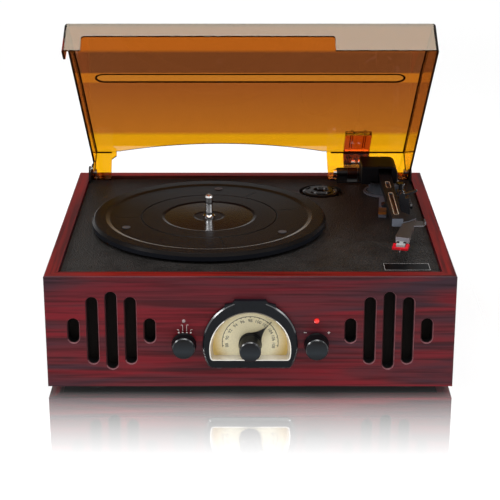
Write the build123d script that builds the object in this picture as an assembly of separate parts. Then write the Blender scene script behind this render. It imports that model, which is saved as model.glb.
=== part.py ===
from build123d import *
import os
from math import asin, cos, degrees, hypot, radians, sin

# A compact record player in a wooden cabinet with a tuner dial and two speakers. Sizes are in
# millimetres. +X runs to the right of someone who faces the dial, +Y to the rear, +Z up, and the
# origin is the centre of the cabinet's footprint on the table.

# Cabinet
CABINET_W = 370.0
CABINET_D = 320.0
CABINET_H = 107.5
WALL = 12.0
TOP_BEVEL = 0.8
BOTTOM_T = 6.0
BATTEN = 10.0
FOOT_H = 6.0
FOOT_R = 11.0
FOOT_INSET_X = 42.0
FOOT_INSET_Y = 32.0
SCREW_R = 1.5
RIM = FOOT_H + CABINET_H
INNER_X = CABINET_W / 2 - WALL
INNER_Y = CABINET_D / 2 - WALL
FRONT = -CABINET_D / 2
PANEL_BACK = FRONT + WALL
FLOOR = FOOT_H + BOTTOM_T

# Deck plate, sunk below the cabinet's rim
DECK_SUNK = 3.5
DECK_T = 3.0
DECK_GAP = 0.8
DECK = RIM - DECK_SUNK
WELL_R = 102.0
WELL_DEPTH = 8.0
WELL_FLOOR = DECK - WELL_DEPTH
ADAPTER_X = INNER_X - 98.5
ADAPTER_Y = INNER_Y - 45.0
ADAPTER_R = 19.0
ADAPTER_T = 6.0
ADAPTER_HOLE_R = 3.65
RECESS_R = 22.75
RECESS_DEPTH = 4.0
SCOOP_R = 11.0
SCOOP_OUT = 12.5
BADGE_X = INNER_X - 30.0
BADGE_Y = -INNER_Y + 20.5
BADGE_W = 43.0
BADGE_D = 19.0
BADGE_T = 0.6

# Platter, its bearing and the belt drive
PLATTER_R = 115.0
PLATTER_SIDE_GAP = 17.5
PLATTER_X = -INNER_X + PLATTER_SIDE_GAP + PLATTER_R
PLATTER_Y = -4.5
PLATTER_TOP = RIM + 6.5
PLATTER_T = 3.0
PLATTER_SKIRT = 7.1
SKIRT_T = 2.5
RIM_BAND_R = 101.5
MAT_R = 97.5
MAT_STEP = 1.0
GROOVE_R = 66.5
GROOVE_W = 1.6
LABEL_R = 46.5
LABEL_STEP = 0.8
HUB_DISH_R = 15.5
PAD_RING_R = 87.0
PAD_R = 4.0
PAD_H = 0.7
PAD_FIRST_ANGLE = 85.0
DRIVE_RING_R = 70.0
DRIVE_RING_T = 3.0
HUB_R = 12.0
SPINDLE_R = 3.575
SPINDLE_H = 21.0
SHAFT_R = 3.0
RUN = 0.05
BUSH_R = 6.0
BUSH_FLANGE_R = 9.0
BUSH_L = 17.0
PULLEY_R = 5.2
PULLEY_OFFSET = 92.0
PULLEY_ANGLE = 135.0
MOTOR_R = 17.5
MOTOR_L = 24.0
MOTOR_SHAFT_R = 1.0
GROMMET_RING_R = 22.0
BELT_T = 0.8
BELT_W = 4.0
BELT_GAP = 0.3

# Dust cover and its hinges
BRACKET_T = 1.8
BRACKET_W = 13.0
BRACKET_GAP = 0.3
LID_EAR_GAP = 0.7
LID_DRAFT = 2.0
LID_BASE_HALF = INNER_X - BRACKET_GAP - BRACKET_T - LID_EAR_GAP
LID_TOP_HALF = LID_BASE_HALF - LID_DRAFT
LID_T = 2.2
LID_FRONT = -INNER_Y + 2.0
LID_REAR = INNER_Y - 3.5
LID_BASE = RIM - 1.5
LID_FRONT_TOP = RIM + 26.6
LID_REAR_TOP = RIM + 34.0
LID_LEAN = 1.5
CORNER_LIFT = 2.0
FOLD_Y = LID_FRONT + 107.5
FLUTE_Y = FOLD_Y + 10.7
FLUTE_W = 18.0
FLUTE_L = 2 * LID_TOP_HALF - 32.4
FLUTE_DEPTH = 0.9
NOTCH_W = 230.0
NOTCH_X = -LID_TOP_HALF + 15.2 + NOTCH_W / 2
NOTCH_TOP = RIM + 13.5
NOTCH_R = 3.0
SIDE_CUT_FRONT = LID_FRONT + 17.0
SIDE_CUT_TOP = RIM + 18.5
ARCH_LEFT = -LID_BASE_HALF + 20.8
ARCH_STEP = 5.0
ARCH_RIGHT = INNER_X - 89.0
ARCH_PEAK_Y = LID_REAR - 24.9
HINGE_Y = INNER_Y - 10.0
HINGE_Z = RIM + 7.0
HINGE_PIN_R = 2.0
EAR_R = 9.0
LID_OPEN = 41.2
SPRING_X = INNER_X - 63.5
SPRING_W = 33.0
KNUCKLE_R = 4.8
LEAF_X = SPRING_X + 5.3
LEAF_W = 28.0
LEAF_T = 1.5
HINGE_PAD_H = 5.0
HINGE_PAD_Y = LID_REAR - 43.5

# Tonearm
ARM_X = INNER_X - 33.0
ARM_Y = INNER_Y - 48.0
COLLAR_R = 16.4
COLLAR_TOP = RIM + 11.0
YOKE_GAP = 0.4
YOKE_LEFT = 24.4
YOKE_RIGHT = 12.6
YOKE_FRONT = 20.0
YOKE_REAR = 20.0
YOKE_TOP = RIM + 30.0
YOKE_WALL = 2.0
ARM_PIVOT_Z = RIM + 19.0
ARM_BOTTOM = RIM + 14.6
ARM_TOP = RIM + 22.3
ARM_SHIFT = -0.5
ARM_W = 10.6
ARM_TAIL_W = 12.0
ARM_END_Y = ARM_Y - 165.0
ARM_SIDE_GAP = 0.8
TROUGH_W = 5.0
TROUGH_DEPTH = 2.6
PITCH_PIN_R = 1.5
SHELL_T = 3.6
STYLUS_X = ARM_X - 3.7
STYLUS_Y = ARM_END_Y - 59.0
RECORD_Z = RIM + 8.5
REST_Y = ARM_Y - 92.0
REST_POST_X = ARM_X + 14.0
REST_GAP = 0.3
LIFT_R = 22.5
LIFT_W = 5.0
LIFT_X = ARM_X + 16.4
LIFT_Y = ARM_Y - 22.0
LIFT_HALF = 4.7
LIFT_PIN_R = 2.5
LIFT_TRAVEL = 1.2
GAP = 0.3
LEVER_ANGLE = 5.3
LEVER_L = 86.0
LEVER_W = 8.0

# Front controls
KNOB_Z = RIM - 65.3
SIDE_KNOB_R = 11.2
SELECTOR_L = 12.0
VOLUME_L = 15.0
TUNING_L = 19.0
TUNING_R = 10.5
KNOB_SHAFT_R = 3.0
KNOB_GAP = 0.6
POT_R = 8.5
POT_L = 11.0
BUSHING_R = 4.5
DIAL_R = 43.1
DIAL_FLAT = 22.9
BEZEL_T = 4.0
BEZEL_TAB_W = 28.0
BEZEL_STEP_W = 46.0
WINDOW_R = DIAL_R - 6.0
WINDOW_DROP = 4.7
WINDOW_FLAT = DIAL_FLAT - 7.9
FACE_SHRINK = 3.2
DIAL_DEPTH = 3.0
DIAL_PLATE_T = 1.0
POINTER_L = 28.0
POINTER_ANGLE = 47.0
POINTER_T = 1.2
LED_Z = RIM - 43.0
LED_R = 2.4
SOURCE_LED_R = 1.6

# Speakers
SPEAKER_X = CABINET_W / 2 - 59.7
KNOB_SHARE = 0.28
SIDE_KNOB_X = 24.916 + KNOB_SHARE * SPEAKER_X
SPEAKER_Z = RIM - 52.8
SLOT_PITCH = 17.25
SLOT_W = 10.0
SLOT_HEIGHTS = (23.4, 64.6, 74.8, 64.6, 23.4)
SLOT_BEVEL = 0.8
CLOTH_W = 84.0
CLOTH_H = 86.0
CLOTH_T = 0.6
BASKET_R = 38.5
BASKET_DEPTH = 26.0
CONE_R = 33.0
MAGNET_R = 22.0
MAGNET_T = 12.0

# Electronics and rear sockets
BOARD_W = 150.0
BOARD_D = 90.0
BOARD_T = 1.6
BOARD_X = -60.0
BOARD_Y = 70.0
STANDOFF_H = 8.0
SOCKET_PLATE_W = 96.0
SOCKET_PLATE_H = 32.0
SOCKET_PLATE_T = 2.0
SOCKET_X = 60.0
SOCKET_Z = 52.0
SOCKET_PITCH = 20.0
SOCKET_BODY_R = 6.5
PLATE_SCREW_L = 8.0
PHONO_R = 4.15
PHONO_L = 9.0
PHONO_BORE_R = 1.65
PHONO_NECK_R = 4.7
JACK_R = 1.8
JACK_L = 14.0
NECK_R = 3.2

parts = {}
fasteners = []


def facing(y, x=0.0, z=0.0):
    """A plane that faces the viewer, with its origin at the given place."""
    return Plane(origin=(x, y, z), x_dir=(1, 0, 0), z_dir=(0, -1, 0))


def flat(*points):
    """A flat face through the given corners, in the XY plane."""
    return make_face(Polyline(*points, close=True))


def turned(*points):
    """A body turned about the Z axis from corners given as (radius, height)."""
    outline = Polyline(*[(r, 0, h) for r, h in points], close=True)
    return revolve(make_face(outline), Axis.Z, 360)


def upright(sketch, low, high):
    """A sketch extruded between two heights."""
    return extrude(Pos(0, 0, low) * sketch, high - low)


def column(x, y, low, high, radius):
    return Pos(x, y, (low + high) / 2) * Cylinder(radius, high - low)


def rod_x(x0, x1, y, z, radius):
    return Pos((x0 + x1) / 2, y, z) * Rot(0, 90, 0) * Cylinder(radius, x1 - x0)


def rod_y(x, y0, y1, z, radius):
    return Pos(x, (y0 + y1) / 2, z) * Rot(90, 0, 0) * Cylinder(radius, y1 - y0)


def block(x0, x1, y0, y1, z0, z1):
    return Pos((x0 + x1) / 2, (y0 + y1) / 2, (z0 + z1) / 2) * Box(x1 - x0, y1 - y0, z1 - z0)


def group(pieces):
    """Separate solids that share one node, such as a set of screws."""
    return Compound(children=list(pieces))


def arch_face(radius, drop, flat_below, corner=0.0):
    """A dial outline about the tuning axis: a circle whose centre lies below the axis by drop,
    cut level at flat_below under the axis."""
    circle = Pos(0, -drop) * Circle(radius)
    keep = Pos(0, radius - flat_below) * Rectangle(4 * radius, 2 * radius)
    outline = circle & keep
    if corner:
        outline = fillet(outline.vertices(), corner)
    return outline


# Cabinet panels, joined by mitres at the corners.
HALF_W = CABINET_W / 2
HALF_D = CABINET_D / 2


def mitred(outer_a, outer_b, inner_b, inner_a, outward, side):
    """One wall of the cabinet, with a small bevel along its top outer edge."""
    wall = upright(flat(outer_a, outer_b, inner_b, inner_a), FOOT_H, RIM)
    edge = wall.edges().filter_by(outward).group_by(Axis.Z)[-1].sort_by(side)[0]
    return chamfer(edge, TOP_BEVEL)


front_panel = mitred((-HALF_W, -HALF_D), (HALF_W, -HALF_D), (INNER_X, -INNER_Y),
                     (-INNER_X, -INNER_Y), Axis.X, Axis.Y)
rear_panel = mitred((-HALF_W, HALF_D), (HALF_W, HALF_D), (INNER_X, INNER_Y),
                    (-INNER_X, INNER_Y), Axis.X, Axis((0, 0, 0), (0, -1, 0)))
left_panel = mitred((-HALF_W, -HALF_D), (-HALF_W, HALF_D), (-INNER_X, INNER_Y),
                    (-INNER_X, -INNER_Y), Axis.Y, Axis.X)
right_panel = mitred((HALF_W, -HALF_D), (HALF_W, HALF_D), (INNER_X, INNER_Y),
                     (INNER_X, -INNER_Y), Axis.Y, Axis((0, 0, 0), (-1, 0, 0)))


def speaker_slots(grow=0.0):
    """The five upright slots of one speaker, as one sketch about its centre."""
    middle = (len(SLOT_HEIGHTS) - 1) / 2
    slots = Sketch()
    for i, height in enumerate(SLOT_HEIGHTS):
        slot = SlotOverall(height + 2 * grow, SLOT_W + 2 * grow, rotation=90)
        slots += Pos((i - middle) * SLOT_PITCH, 0) * slot
    return slots


for side in (-1, 1):
    place = facing(FRONT, side * SPEAKER_X, SPEAKER_Z)
    front_panel -= extrude(place * speaker_slots(), -WALL)
    for slot in speaker_slots(SLOT_BEVEL).faces():
        front_panel -= extrude(place * slot, -2 * SLOT_BEVEL, taper=45 / 2)

CUP_GAP = 0.2
cup_outline = arch_face(DIAL_R - 4.0, 0, DIAL_FLAT - 4.0, 3.0)
front_panel -= extrude(facing(FRONT, 0, KNOB_Z) * offset(cup_outline, CUP_GAP), -WALL)
for side in (-1, 1):
    front_panel -= rod_y(side * SIDE_KNOB_X, FRONT, PANEL_BACK, KNOB_Z, BUSHING_R + CUP_GAP)
front_panel -= rod_y(SIDE_KNOB_X, FRONT, PANEL_BACK, LED_Z, LED_R + RUN)
front_panel -= rod_y(-SIDE_KNOB_X, FRONT, PANEL_BACK, LED_Z, SOURCE_LED_R + RUN)

parts["front_panel"] = front_panel

# The rear panel is drilled for the sockets and for the two screws of their plate.
socket_x = [SOCKET_X + (i - 1.5) * SOCKET_PITCH for i in range(4)]
plate_screw_x = [SOCKET_X + side * (SOCKET_PLATE_W / 2 - 4) for side in (-1, 1)]
for x in socket_x:
    rear_panel -= rod_y(x, INNER_Y, HALF_D, SOCKET_Z, SOCKET_BODY_R + CUP_GAP)
for x in plate_screw_x:
    rear_panel -= rod_y(x, HALF_D - PLATE_SCREW_L, HALF_D, SOCKET_Z, SCREW_R)
parts["rear_panel"] = rear_panel

parts["side_panels"] = group([left_panel, right_panel])

# Bottom board, its feet and their screws.
foot_places = [(sx * (HALF_W - FOOT_INSET_X), sy * (HALF_D - FOOT_INSET_Y))
               for sx in (-1, 1) for sy in (-1, 1)]
bottom_board = block(-INNER_X, INNER_X, -INNER_Y, INNER_Y, FOOT_H, FLOOR)
for x, y in foot_places:
    bottom_board -= column(x, y, FOOT_H, FLOOR, SCREW_R)
for row in range(-2, 3):
    vent = Pos(90, row * 9) * SlotOverall(60, 4)
    bottom_board -= upright(vent, FOOT_H, FLOOR)
parts["bottom_board"] = bottom_board

FOOT_CUP = 3.0
foot = turned((SCREW_R, 0), (FOOT_R - 1.5, 0), (FOOT_R - 0.5, 0.8), (FOOT_R, FOOT_H),
              (SCREW_R, FOOT_H))
foot -= column(0, 0, 0, FOOT_CUP, 2 * SCREW_R + 0.4)
foot_screw = turned((0, FOOT_CUP - 1.6), (2 * SCREW_R, FOOT_CUP - 1.6), (2 * SCREW_R, FOOT_CUP),
                    (SCREW_R, FOOT_CUP), (SCREW_R, FLOOR), (0, FLOOR + 1))
parts["feet"] = group(Pos(x, y, 0) * foot for x, y in foot_places)
fasteners += [Pos(x, y, 0) * foot_screw for x, y in foot_places]

# Battens glued inside the walls carry the deck plate. They leave the rear corners to the hinges,
# and the front one ends beside the speakers.
DECK_UNDER = DECK - DECK_T
BATTEN_LOW = DECK_UNDER - BATTEN
CORNER = 28.0
FRONT_BATTEN_HALF = SPEAKER_X - CLOTH_W / 2 - 3
parts["deck_battens"] = group([
    block(-INNER_X, -INNER_X + BATTEN, -INNER_Y + BATTEN, INNER_Y - CORNER, BATTEN_LOW, DECK_UNDER),
    block(INNER_X - BATTEN, INNER_X, -INNER_Y + BATTEN, INNER_Y - CORNER, BATTEN_LOW, DECK_UNDER),
    block(-FRONT_BATTEN_HALF, FRONT_BATTEN_HALF, -INNER_Y, -INNER_Y + BATTEN, BATTEN_LOW, DECK_UNDER),
    block(-INNER_X + CORNER, INNER_X - CORNER, INNER_Y - BATTEN, INNER_Y, BATTEN_LOW, DECK_UNDER),
])

# The deck plate is one moulding: plate, platter well and adapter recess.
pulley_x = PLATTER_X + PULLEY_OFFSET * cos(radians(PULLEY_ANGLE))
pulley_y = PLATTER_Y + PULLEY_OFFSET * sin(radians(PULLEY_ANGLE))
DECK_X = INNER_X - DECK_GAP
DECK_Y = INNER_Y - DECK_GAP
scoop_x = ADAPTER_X + SCOOP_OUT
scoop_y = ADAPTER_Y - SCOOP_OUT / 2
recess = Pos(ADAPTER_X, ADAPTER_Y) * Circle(RECESS_R) + Pos(scoop_x, scoop_y) * Circle(SCOOP_R)
deck = block(-DECK_X, DECK_X, -DECK_Y, DECK_Y, DECK_UNDER, DECK)
deck += column(PLATTER_X, PLATTER_Y, WELL_FLOOR - DECK_T, DECK, WELL_R + DECK_T)
deck += upright(offset(recess, 2.0), DECK - RECESS_DEPTH - 2.0, DECK)
deck -= column(PLATTER_X, PLATTER_Y, WELL_FLOOR, DECK, WELL_R)
deck -= upright(recess, DECK - RECESS_DEPTH, DECK)
BOSS_LOW = WELL_FLOOR - BUSH_L
boss = turned((BUSH_R, BOSS_LOW), (BUSH_R + 4, BOSS_LOW), (BUSH_R + 7, WELL_FLOOR - DECK_T),
              (BUSH_R + 7, WELL_FLOOR), (BUSH_R, WELL_FLOOR))
deck += Pos(PLATTER_X, PLATTER_Y, 0) * boss
deck -= column(PLATTER_X, PLATTER_Y, BOSS_LOW, WELL_FLOOR, BUSH_R)
deck -= column(pulley_x, pulley_y, WELL_FLOOR - DECK_T, WELL_FLOOR, PULLEY_R + 2)

# Motor mounting holes, and clearance for the tonearm spigot, lift pin and hinge brackets.
GROMMET_R = 4.0
SPIGOT_R = 8.0
lug_angles = [PULLEY_ANGLE + a for a in (95, 180, 265)]
motor_holes = [(pulley_x + GROMMET_RING_R * cos(radians(a)), pulley_y + GROMMET_RING_R * sin(radians(a)))
               for a in lug_angles]
for x, y in motor_holes:
    deck -= column(x, y, WELL_FLOOR - DECK_T, WELL_FLOOR, SCREW_R + RUN)
deck -= column(ARM_X, ARM_Y, DECK_UNDER, DECK, SPIGOT_R + RUN)
BRACKET_X = INNER_X - BRACKET_GAP - BRACKET_T
BRACKET_FOOT = 16.0
bracket_hole_x = BRACKET_X - BRACKET_FOOT / 2
SKIN = 0.8
SLIT = 0.25
for side in (-1, 1):
    slit = sorted((side * (BRACKET_X - SLIT), side * (DECK_X + 1)))
    deck -= block(*slit, HINGE_Y - BRACKET_W / 2 - SLIT, HINGE_Y + BRACKET_W / 2 + SLIT,
                  DECK_UNDER, DECK)
    deck -= column(side * bracket_hole_x, HINGE_Y, DECK_UNDER, DECK - SKIN, SCREW_R)
parts["deck_plate"] = deck
badge = RectangleRounded(BADGE_W, BADGE_D, 1.0)
parts["deck_badge"] = upright(Pos(BADGE_X, BADGE_Y) * badge, DECK, DECK + BADGE_T)

# Platter: one moulding with a raised rim band, a sunk mat area, grooves, skirt and drive ring.
SKIRT_LOW = PLATTER_TOP - PLATTER_SKIRT
PLATTER_UNDER = PLATTER_TOP - PLATTER_T
RING_LOW = WELL_FLOOR + 2.0
HUB_LOW = WELL_FLOOR + 2.0
MAT_TOP = PLATTER_TOP - MAT_STEP
SKIRT_EDGE = PLATTER_R - 1.8
platter = turned(
    (SHAFT_R, MAT_TOP - LABEL_STEP), (HUB_DISH_R - 2, MAT_TOP - LABEL_STEP),
    (HUB_DISH_R, MAT_TOP - LABEL_STEP / 2), (LABEL_R - 3, MAT_TOP - LABEL_STEP),
    (LABEL_R, MAT_TOP), (GROOVE_R - GROOVE_W / 2, MAT_TOP), (GROOVE_R, MAT_TOP - 0.7),
    (GROOVE_R + GROOVE_W / 2, MAT_TOP), (MAT_R, MAT_TOP), (RIM_BAND_R, PLATTER_TOP),
    (SKIRT_EDGE - 1, PLATTER_TOP), (SKIRT_EDGE, PLATTER_TOP - 0.6), (PLATTER_R, PLATTER_TOP - 3),
    (PLATTER_R, SKIRT_LOW), (PLATTER_R - SKIRT_T, SKIRT_LOW),
    (PLATTER_R - SKIRT_T, PLATTER_UNDER), (DRIVE_RING_R, PLATTER_UNDER - MAT_STEP),
    (DRIVE_RING_R, RING_LOW), (DRIVE_RING_R - DRIVE_RING_T, RING_LOW),
    (DRIVE_RING_R - DRIVE_RING_T, PLATTER_UNDER - MAT_STEP), (HUB_R, PLATTER_UNDER - MAT_STEP),
    (HUB_R, HUB_LOW), (SHAFT_R, HUB_LOW))
parts["platter"] = Pos(PLATTER_X, PLATTER_Y, 0) * platter
pad = turned((0, 0), (PAD_R, 0), (PAD_R, PAD_H - 0.3), (PAD_R - 0.6, PAD_H), (1.2, PAD_H),
             (1.0, PAD_H - 0.3), (0, PAD_H - 0.3))
parts["platter_pads"] = group(
    Pos(PLATTER_X, PLATTER_Y, MAT_TOP) * Rot(0, 0, PAD_FIRST_ANGLE + i * 120)
    * Pos(PAD_RING_R, 0, 0) * pad for i in range(3))

# Spindle shaft in its brass bush. A circlip under the bush keeps the platter down.
SPINDLE_TOP = PLATTER_TOP + SPINDLE_H
COLLAR_H = 1.6
BUSH_TOP = WELL_FLOOR + 1.0
shaft_low = BOSS_LOW - 6
spindle = turned((0, shaft_low), (SHAFT_R - 0.5, shaft_low), (SHAFT_R, shaft_low + 0.5),
                 (SHAFT_R, MAT_TOP - LABEL_STEP), (SPINDLE_R + 2.2, MAT_TOP - LABEL_STEP),
                 (SPINDLE_R + 2.2, MAT_TOP - LABEL_STEP + COLLAR_H - 0.5),
                 (SPINDLE_R + 1.7, MAT_TOP - LABEL_STEP + COLLAR_H),
                 (SPINDLE_R, MAT_TOP - LABEL_STEP + COLLAR_H), (SPINDLE_R, SPINDLE_TOP - 3),
                 (SPINDLE_R * 0.86, SPINDLE_TOP - 1.4), (SPINDLE_R * 0.5, SPINDLE_TOP - 0.4),
                 (0, SPINDLE_TOP))
parts["spindle"] = Pos(PLATTER_X, PLATTER_Y, 0) * spindle
bush = turned((SHAFT_R + RUN, BOSS_LOW), (BUSH_R, BOSS_LOW), (BUSH_R, WELL_FLOOR),
              (BUSH_FLANGE_R, WELL_FLOOR), (BUSH_FLANGE_R, BUSH_TOP), (SHAFT_R + RUN, BUSH_TOP))
parts["bearing_bush"] = Pos(PLATTER_X, PLATTER_Y, 0) * bush
WASHER_TOP = HUB_LOW - 0.1
washer = turned((SHAFT_R + RUN, BUSH_TOP), (BUSH_FLANGE_R - 1, BUSH_TOP),
                (BUSH_FLANGE_R - 1, WASHER_TOP), (SHAFT_R + RUN, WASHER_TOP))
parts["thrust_washer"] = Pos(PLATTER_X, PLATTER_Y, 0) * washer
clip_top = BOSS_LOW - 0.3
clip = turned((SHAFT_R, clip_top - 1), (SHAFT_R + 3, clip_top - 1), (SHAFT_R + 3, clip_top),
              (SHAFT_R, clip_top))
clip -= block(0, SHAFT_R + 4, -SHAFT_R / 2, SHAFT_R / 2, clip_top - 2, clip_top + 1)
parts["spindle_circlip"] = Pos(PLATTER_X, PLATTER_Y, 0) * clip

# Motor, pulley and belt.
MOTOR_TOP = WELL_FLOOR - DECK_T - 3.0
motor = turned((MOTOR_SHAFT_R + RUN, MOTOR_TOP - MOTOR_L), (MOTOR_R - 1, MOTOR_TOP - MOTOR_L),
               (MOTOR_R, MOTOR_TOP - MOTOR_L + 1), (MOTOR_R, MOTOR_TOP), (4, MOTOR_TOP),
               (4, MOTOR_TOP + 1.5), (MOTOR_SHAFT_R + RUN, MOTOR_TOP + 1.5))
LUG_T = 1.2
LUG_R = 4.5
lug_base = Pos(GROMMET_RING_R / 2, 0) * Rectangle(GROMMET_RING_R, 2 * LUG_R)
lug = upright(lug_base + Pos(GROMMET_RING_R, 0) * Circle(LUG_R), MOTOR_TOP - LUG_T, MOTOR_TOP)
lug -= column(GROMMET_RING_R, 0, MOTOR_TOP - LUG_T, MOTOR_TOP, SCREW_R)
lug -= column(0, 0, MOTOR_TOP - LUG_T, MOTOR_TOP, MOTOR_R - 2)
for a in lug_angles:
    motor += Rot(0, 0, a) * lug
parts["motor"] = Pos(pulley_x, pulley_y, 0) * motor
grommet = turned((SCREW_R + RUN, MOTOR_TOP), (GROMMET_R, MOTOR_TOP), (GROMMET_R - 0.8, MOTOR_TOP + 1.5),
                 (GROMMET_R, WELL_FLOOR - DECK_T), (SCREW_R + RUN, WELL_FLOOR - DECK_T))
parts["motor_grommets"] = group(Pos(x, y, 0) * grommet for x, y in motor_holes)
motor_screw = turned((0, MOTOR_TOP - 4), (SCREW_R, MOTOR_TOP - 4), (SCREW_R, WELL_FLOOR),
                     (2 * SCREW_R, WELL_FLOOR), (2 * SCREW_R - 0.4, WELL_FLOOR + 1.2),
                     (0, WELL_FLOOR + 1.2))
fasteners += [Pos(x, y, 0) * motor_screw for x, y in motor_holes]
BELT_LOW = RING_LOW + 1.0
BELT_TOP = BELT_LOW + BELT_W
FLANGE_H = 1.2
pulley = turned((0, MOTOR_TOP - MOTOR_L + 2), (MOTOR_SHAFT_R, MOTOR_TOP - MOTOR_L + 2),
                (MOTOR_SHAFT_R, BELT_LOW - FLANGE_H), (PULLEY_R + FLANGE_H, BELT_LOW - FLANGE_H),
                (PULLEY_R, BELT_LOW - 0.2), (PULLEY_R, BELT_TOP + 0.2),
                (PULLEY_R + FLANGE_H, BELT_TOP + FLANGE_H), (0, BELT_TOP + FLANGE_H))
parts["motor_pulley"] = Pos(pulley_x, pulley_y, 0) * pulley


def belt_loop(extra):
    """The outline round drive ring and pulley, drawn on the line between their centres."""
    big = DRIVE_RING_R + BELT_GAP + extra
    small = PULLEY_R + BELT_GAP + extra
    lean = degrees(asin((big - small) / PULLEY_OFFSET))
    ends = {}
    for sign in (1, -1):
        a = radians(90 - lean) * sign
        ends[sign] = ((big * cos(a), big * sin(a)),
                      (PULLEY_OFFSET + small * cos(a), small * sin(a)))
    edges = [ThreePointArc(ends[1][0], (-big, 0), ends[-1][0]), Line(ends[-1][0], ends[-1][1]),
             ThreePointArc(ends[-1][1], (PULLEY_OFFSET + small, 0), ends[1][1]),
             Line(ends[1][1], ends[1][0])]
    return make_face(Wire(edges))


belt = upright(belt_loop(BELT_T) - belt_loop(0), BELT_LOW, BELT_TOP)
parts["drive_belt"] = Pos(PLATTER_X, PLATTER_Y, 0) * Rot(0, 0, PULLEY_ANGLE) * belt

# The 45 rpm adapter lies in its recess in the deck.
ADAPTER_LOW = DECK - RECESS_DEPTH
ADAPTER_TOP = ADAPTER_LOW + ADAPTER_T
adapter = turned((ADAPTER_HOLE_R, ADAPTER_LOW), (ADAPTER_R, ADAPTER_LOW), (ADAPTER_R, ADAPTER_TOP - 2),
                 (ADAPTER_R - 2, ADAPTER_TOP - 1), (12.5, ADAPTER_TOP - 1), (12, ADAPTER_TOP),
                 (8, ADAPTER_TOP), (7, ADAPTER_TOP - 2), (ADAPTER_HOLE_R, ADAPTER_TOP - 2))
for i in range(3):
    window = Rot(0, 0, i * 120 + 30) * Pos(14.6, 0) * SlotOverall(9, 2.6, rotation=90)
    adapter -= upright(window, ADAPTER_LOW, ADAPTER_TOP)
parts["record_adapter"] = Pos(ADAPTER_X, ADAPTER_Y, 0) * adapter


# Dust cover, drawn closed and then swung open about its hinge.
def opened(shape):
    return shape.rotate(Axis((0, HINGE_Y, HINGE_Z), (1, 0, 0)), -LID_OPEN)


def lid_block(inset, round_r):
    """The cover's filled outline, moved in from its outer faces by inset."""
    side_view = Plane.YZ * flat(
        (LID_FRONT + inset, LID_BASE), (LID_FRONT + LID_LEAN + inset, LID_FRONT_TOP - inset),
        (FOLD_Y, LID_REAR_TOP - inset), (LID_REAR - LID_LEAN - inset, LID_REAR_TOP - inset),
        (LID_REAR - inset, LID_BASE))
    front_view = Plane.XZ * flat(
        (-LID_BASE_HALF + inset, LID_BASE), (-LID_TOP_HALF + inset, LID_REAR_TOP),
        (LID_TOP_HALF - inset, LID_REAR_TOP), (LID_BASE_HALF - inset, LID_BASE))
    solid = extrude(side_view, HALF_W, both=True) & extrude(front_view, HALF_D, both=True)
    edges = [e for e in solid.edges() if e.center().Z > LID_BASE + 1
             and abs((e @ 0).X + (e @ 1).X) > 1]
    return fillet(edges, round_r)


lid = lid_block(0, 3.0) - lid_block(LID_T, 0.9)
flute = Pos(0, FLUTE_Y) * SlotOverall(FLUTE_L, FLUTE_W)
lid -= upright(flute, LID_REAR_TOP - FLUTE_DEPTH, LID_REAR_TOP + 1)

# The front wall is cut up over the record, with rounded corners.
notch = Rectangle(NOTCH_W, 2 * (NOTCH_TOP - LID_BASE))
notch = fillet(notch.vertices().group_by(Axis.Y)[-1], NOTCH_R)
lid -= extrude(facing(LID_FRONT + 8, NOTCH_X, LID_BASE) * notch, 12)

# The left wall is cut back so that a large record can overhang it, up to the hinge ear.
side_cut = flat((SIDE_CUT_FRONT, LID_BASE - 1), (SIDE_CUT_FRONT + 3, SIDE_CUT_TOP),
                (HINGE_Y, SIDE_CUT_TOP), (HINGE_Y, LID_BASE - 1))
ear_keep = Pos(HINGE_Y, HINGE_Z) * Circle(EAR_R)
side_cut = Plane.YZ * (side_cut - ear_keep)
lid -= Pos(-LID_BASE_HALF - 2, 0, 0) * extrude(side_cut, LID_BASE_HALF - LID_TOP_HALF + LID_T + 3)

# The rear wall is open between two legs, and an arch is cut from the top above it.
arch_left_top = ARCH_LEFT + ARCH_STEP
ledge = LID_REAR_TOP - ARCH_STEP
rear_cut = Plane.XZ * flat(
    (ARCH_LEFT, LID_BASE - 1), (ARCH_LEFT, ledge - ARCH_STEP), (arch_left_top, ledge - 1),
    (arch_left_top, LID_REAR_TOP + 1), (ARCH_RIGHT - 1.5, LID_REAR_TOP + 1), (ARCH_RIGHT, LID_BASE - 1))
lid -= Pos(0, LID_REAR + 1, 0) * extrude(rear_cut, LID_T + 4.5)
arch_mid = (arch_left_top + ARCH_RIGHT) / 2
arch_edge_y = LID_REAR - LID_T - 2
arch = make_face([ThreePointArc((arch_left_top, arch_edge_y), (arch_mid, ARCH_PEAK_Y),
                                (ARCH_RIGHT - 1.5, arch_edge_y)),
                  Polyline((ARCH_RIGHT - 1.5, arch_edge_y), (ARCH_RIGHT - 1.5, LID_REAR + 5),
                           (arch_left_top, LID_REAR + 5), (arch_left_top, arch_edge_y))])
lid -= upright(arch, LID_REAR_TOP - LID_T - 2, LID_REAR_TOP + 1)

# A thick pad with two bosses stands on the cover above the sprung hinge.
PAD_HALF = LEAF_W / 2
PAD_REAR = LID_REAR - LID_LEAN - 3
hinge_pad = block(LEAF_X - PAD_HALF, LEAF_X + PAD_HALF, HINGE_PAD_Y, PAD_REAR,
                  LID_REAR_TOP - LID_T / 2, LID_REAR_TOP + HINGE_PAD_H)
hinge_pad = fillet(hinge_pad.edges().filter_by(Axis.Z), 1.5)
for side in (-1, 1):
    hinge_pad += rod_y(LEAF_X + side * PAD_HALF / 2, HINGE_PAD_Y - 1.5, PAD_REAR - 4,
                       LID_REAR_TOP + HINGE_PAD_H - 1.0, 1.8)
lid += hinge_pad

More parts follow.
